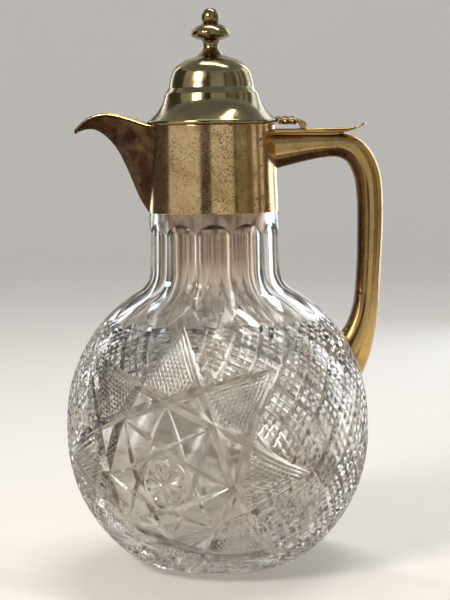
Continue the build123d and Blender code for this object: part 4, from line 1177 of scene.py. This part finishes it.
class JUG_OT_finial(bpy.types.Operator):
    """Add the finial's stem, knop and ball"""
    bl_idname = "jug.finial"
    bl_label = "Finial"

    def execute(self, context):
        s = context.scene.jug_mount
        # Painted shade: 0.9 of the lid's darkened plate colour, with painted shade on its underside.
        plate = plate_material("finial plate", tuple(0.9 * c for c in s.lid), s.brass,
                               (2.0, 0.1, 0.3, 0.7), 0.15)
        hole = lathe(run((0, 255), (STUD_HOLE_R, 255), (STUD_HOLE_R, BALL_Z), (0, BALL_Z)), 48)
        low_z, radius = 259.12, 4.4
        low = np.degrees(np.arcsin((low_z - BALL_Z) / radius))
        top = lathe(run((0, low_z), arc((0, BALL_Z), radius, low, 90, 36)), 96)
        for name, mesh, node in (
                ("finial_waist", lathe(stem_profile(), 96, ring=True), "finial_stem"),
                ("finial_mushroom", lathe(knop_profile(), 96, ring=True), "finial_knop"),
                ("finial_top", cut(top, hole), "finial_ball")):
            add_piece(name, mesh, "lid", plate, (node,))
        return {"FINISHED"}


class JUG_OT_fixings(bpy.types.Operator):
    """Finish the hinge, the tab, the rivet, the stud, the washer and the nut"""
    bl_idname = "jug.fixings"
    bl_label = "Fixings"

    def execute(self, context):
        s = context.scene.jug_mount
        # The undersides of the hinge, tab and fixings get painted shade.
        dull = plate_material("hinge metal", tuple(0.6 * c for c in s.collar), s.brass,
                              (2.5, 0.8, 0.6, 0.4), 0.3)
        plain = plate_material("tab plate", s.lid, s.brass, (2.0, 0.5, 0.4, 0.4), 0.1)
        for names, material in (
                (("lid_tab", "thumb_rest_rivet"), plain),
                (("hinge_knuckles_fixed", "hinge_knuckles_lid", "hinge_pin", "finial_stud",
                  "finial_washer", "finial_nut"), dull)):
            for name in names:
                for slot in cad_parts[name].material_slots:
                    slot.material = material
        return {"FINISHED"}


class JUG_OT_stage(bpy.types.Operator):
    """Add the floor, the lights and the camera"""
    bl_idname = "jug.stage"
    bl_label = "Stage"

    def execute(self, context):
        s = context.scene.jug_stage
        camera = bpy.data.cameras.new("camera")
        camera.lens = 102.0
        camera.sensor_width = 36.0
        camera.clip_start = 0.01
        holder = put("camera", camera)
        holder.matrix_world = (Matrix.Translation((0.00456, -0.811, 0.2113))
                               @ Matrix.Rotation(np.radians(90 - 5.9), 4, "X")
                               @ Matrix.Rotation(np.radians(-1.0), 4, "Z"))
        context.scene.camera = holder

        paper = bpy.data.materials.new("paper")
        paper.use_nodes = True
        shader = paper.node_tree.nodes["Principled BSDF"]
        tree = Tree(paper.node_tree)
        cloud = tree.noise(tree.add("ShaderNodeTexCoord").outputs["Object"], 3.0, 2.0)
        tree.join(tree.mix(cloud, tuple(s.floor) + (1,), tuple(0.97 * c for c in s.floor) + (1,)),
                  shader.inputs["Base Color"])
        shader.inputs["Roughness"].default_value = 0.85
        seen = tree.add("ShaderNodeLightPath").outputs
        seen = tree.sum("MAXIMUM", seen["Is Camera Ray"], tree.sum(
            "MAXIMUM", seen["Is Glossy Ray"], seen["Is Transmission Ray"]))
        glow = tuple(0.19 * c for c in s.floor) + (1,)
        tree.join(tree.mix(seen, (0, 0, 0, 1), glow), shader.inputs["Emission Color"])
        shader.inputs["Emission Strength"].default_value = 1.0
        bowl = lathe(run((0, 0), (400, 0), (1000, 0), (1800, 0), arc((1800, 900), 900, -90, 0, 24),
                         (2700, 2200), (2800, 2200), (2800, -100), (0, -100)), 96)
        bowl.materials.append(paper)
        bowl.shade_smooth()
        bowl.set_sharp_from_angle(angle=np.radians(40))
        put("floor", bowl)

        inks = []
        for name, shade in (("black card", (0.03, 0.026, 0.02)), ("brown card", s.card),
                            ("grey card", (0.25, 0.24, 0.17)), ("window card", s.window)):
            ink = bpy.data.materials.new(name)
            ink.use_nodes = True
            sockets = ink.node_tree.nodes["Principled BSDF"].inputs
            sockets["Base Color"].default_value = tuple(shade) + (1,)
            inks.append(ink)
        sockets["Emission Color"].default_value = tuple(s.window) + (1,)
        sockets["Emission Strength"].default_value = 1.8
        for start, end, near, far, top, ink in (
                (-134, -84, 900, 900, 900, 0), (-22, -3, 1300, 1300, 1300, 0),
                (37, 42, 950, 950, 900, 0), (42, 62, 960, 960, 900, 2), (62, 75, 950, 950, 900, 1),
                (84, 92, 900, 900, 800, 1), (100, 112, 900, 900, 800, 1),
                (143, 160, 1100, 1100, 700, 1), (-164, -146, 1100, 1100, 700, 1),
                (176, 182, 1100, 1100, 500, 1), (118, 134, 1050, 1050, 900, 3),
                (-150, -138, 1050, 1050, 900, 3), (0, 360, 100, 210, 0, 1), (-75, 45, 270, 480, 0, 1)):
            turns = np.radians(np.linspace(start, end, 2 + (end - start) // 5))
            ahead = np.stack([np.sin(turns), -np.cos(turns), 0 * turns], 1)
            points = np.concatenate([near * ahead, far * ahead + (0, 0, top)]) + (0, 0, 1)
            card_mesh = bpy.data.meshes.new("card")
            card_mesh.from_pydata((points * MM).tolist(), [],
                                  grid_faces(2, len(turns), False, False).tolist())
            card_mesh.materials.append(inks[ink])
            card = put("card", card_mesh)
            card.visible_camera = False
            card.visible_diffuse = False
            card.visible_shadow = False

        for place, across, energy, tint in (
                ((-0.62, -0.75, 0.78), (0.32, 0.3), s.key, (1.0, 0.93, 0.80)),
                ((0.45, 0.78, 0.35), (0.25, 0.8), s.fill, (0.80, 0.90, 1.0)),
                ((0.15, 0.2, 1.25), (0.9, 0.1), s.top, (1.0, 0.96, 0.90))):
            lamp = bpy.data.lights.new("softbox", "AREA")
            lamp.shape = "RECTANGLE"
            lamp.size, lamp.size_y = across
            lamp.energy = energy
            lamp.color = tint
            aim = Vector(place) - Vector((0, 0, 0.13))
            softbox = put("softbox", lamp)
            softbox.matrix_world = (Matrix.Translation(place)
                                    @ aim.to_track_quat("Z", "Y").to_matrix().to_4x4())
            softbox.visible_camera = False

        world = bpy.data.worlds.new("studio")
        world.use_nodes = True
        tree = Tree(world.node_tree)
        height = tree.add("ShaderNodeSeparateXYZ", {
            0: tree.add("ShaderNodeTexCoord").outputs["Generated"]}).outputs["Z"]
        tree.join(tree.mix(tree.ramp(height, 0.4, 0.75), tuple(s.sky) + (1,),
                           tuple(s.overhead) + (1,)),
                  world.node_tree.nodes["Background"].inputs["Color"])
        context.scene.world = world
        context.scene.view_settings.view_transform = "Standard"
        return {"FINISHED"}


class JUG_PT_sidebar(bpy.types.Panel):
    """The jug's sizes, colours and pieces"""
    bl_label = "Claret jug"
    bl_idname = "JUG_PT_sidebar"
    bl_space_type = "VIEW_3D"
    bl_region_type = "UI"
    bl_category = "Claret jug"

    def draw(self, context):
        for name, group in GROUPS:
            box = self.layout.box()
            for key in group.__annotations__:
                box.prop(getattr(context.scene, name), key)
        for step in STEPS:
            self.layout.operator(step.bl_idname)


STEPS = (JUG_OT_cut_glass, JUG_OT_collar, JUG_OT_spout, JUG_OT_handle, JUG_OT_thumb_rest,
         JUG_OT_lid, JUG_OT_leaf, JUG_OT_finial, JUG_OT_fixings, JUG_OT_stage)
GROUPS = (("jug_glass", JugGlassSettings), ("jug_mount", JugMountSettings),
          ("jug_stage", JugStageSettings))


def register():
    for name, group in GROUPS:
        bpy.utils.register_class(group)
        setattr(bpy.types.Scene, name, bpy.props.PointerProperty(type=group))
    for thing in STEPS + (JUG_PT_sidebar,):
        bpy.utils.register_class(thing)


def unregister():
    for thing in (JUG_PT_sidebar,) + STEPS[::-1]:
        bpy.utils.unregister_class(thing)
    for name, group in GROUPS[::-1]:
        delattr(bpy.types.Scene, name)
        bpy.utils.unregister_class(group)


def main():
    """Make every piece and the stage."""
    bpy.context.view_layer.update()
    register()
    for step in STEPS:
        area, name = step.bl_idname.split(".")
        getattr(getattr(bpy.ops, area), name)()


if __name__ == "__main__":
    main()
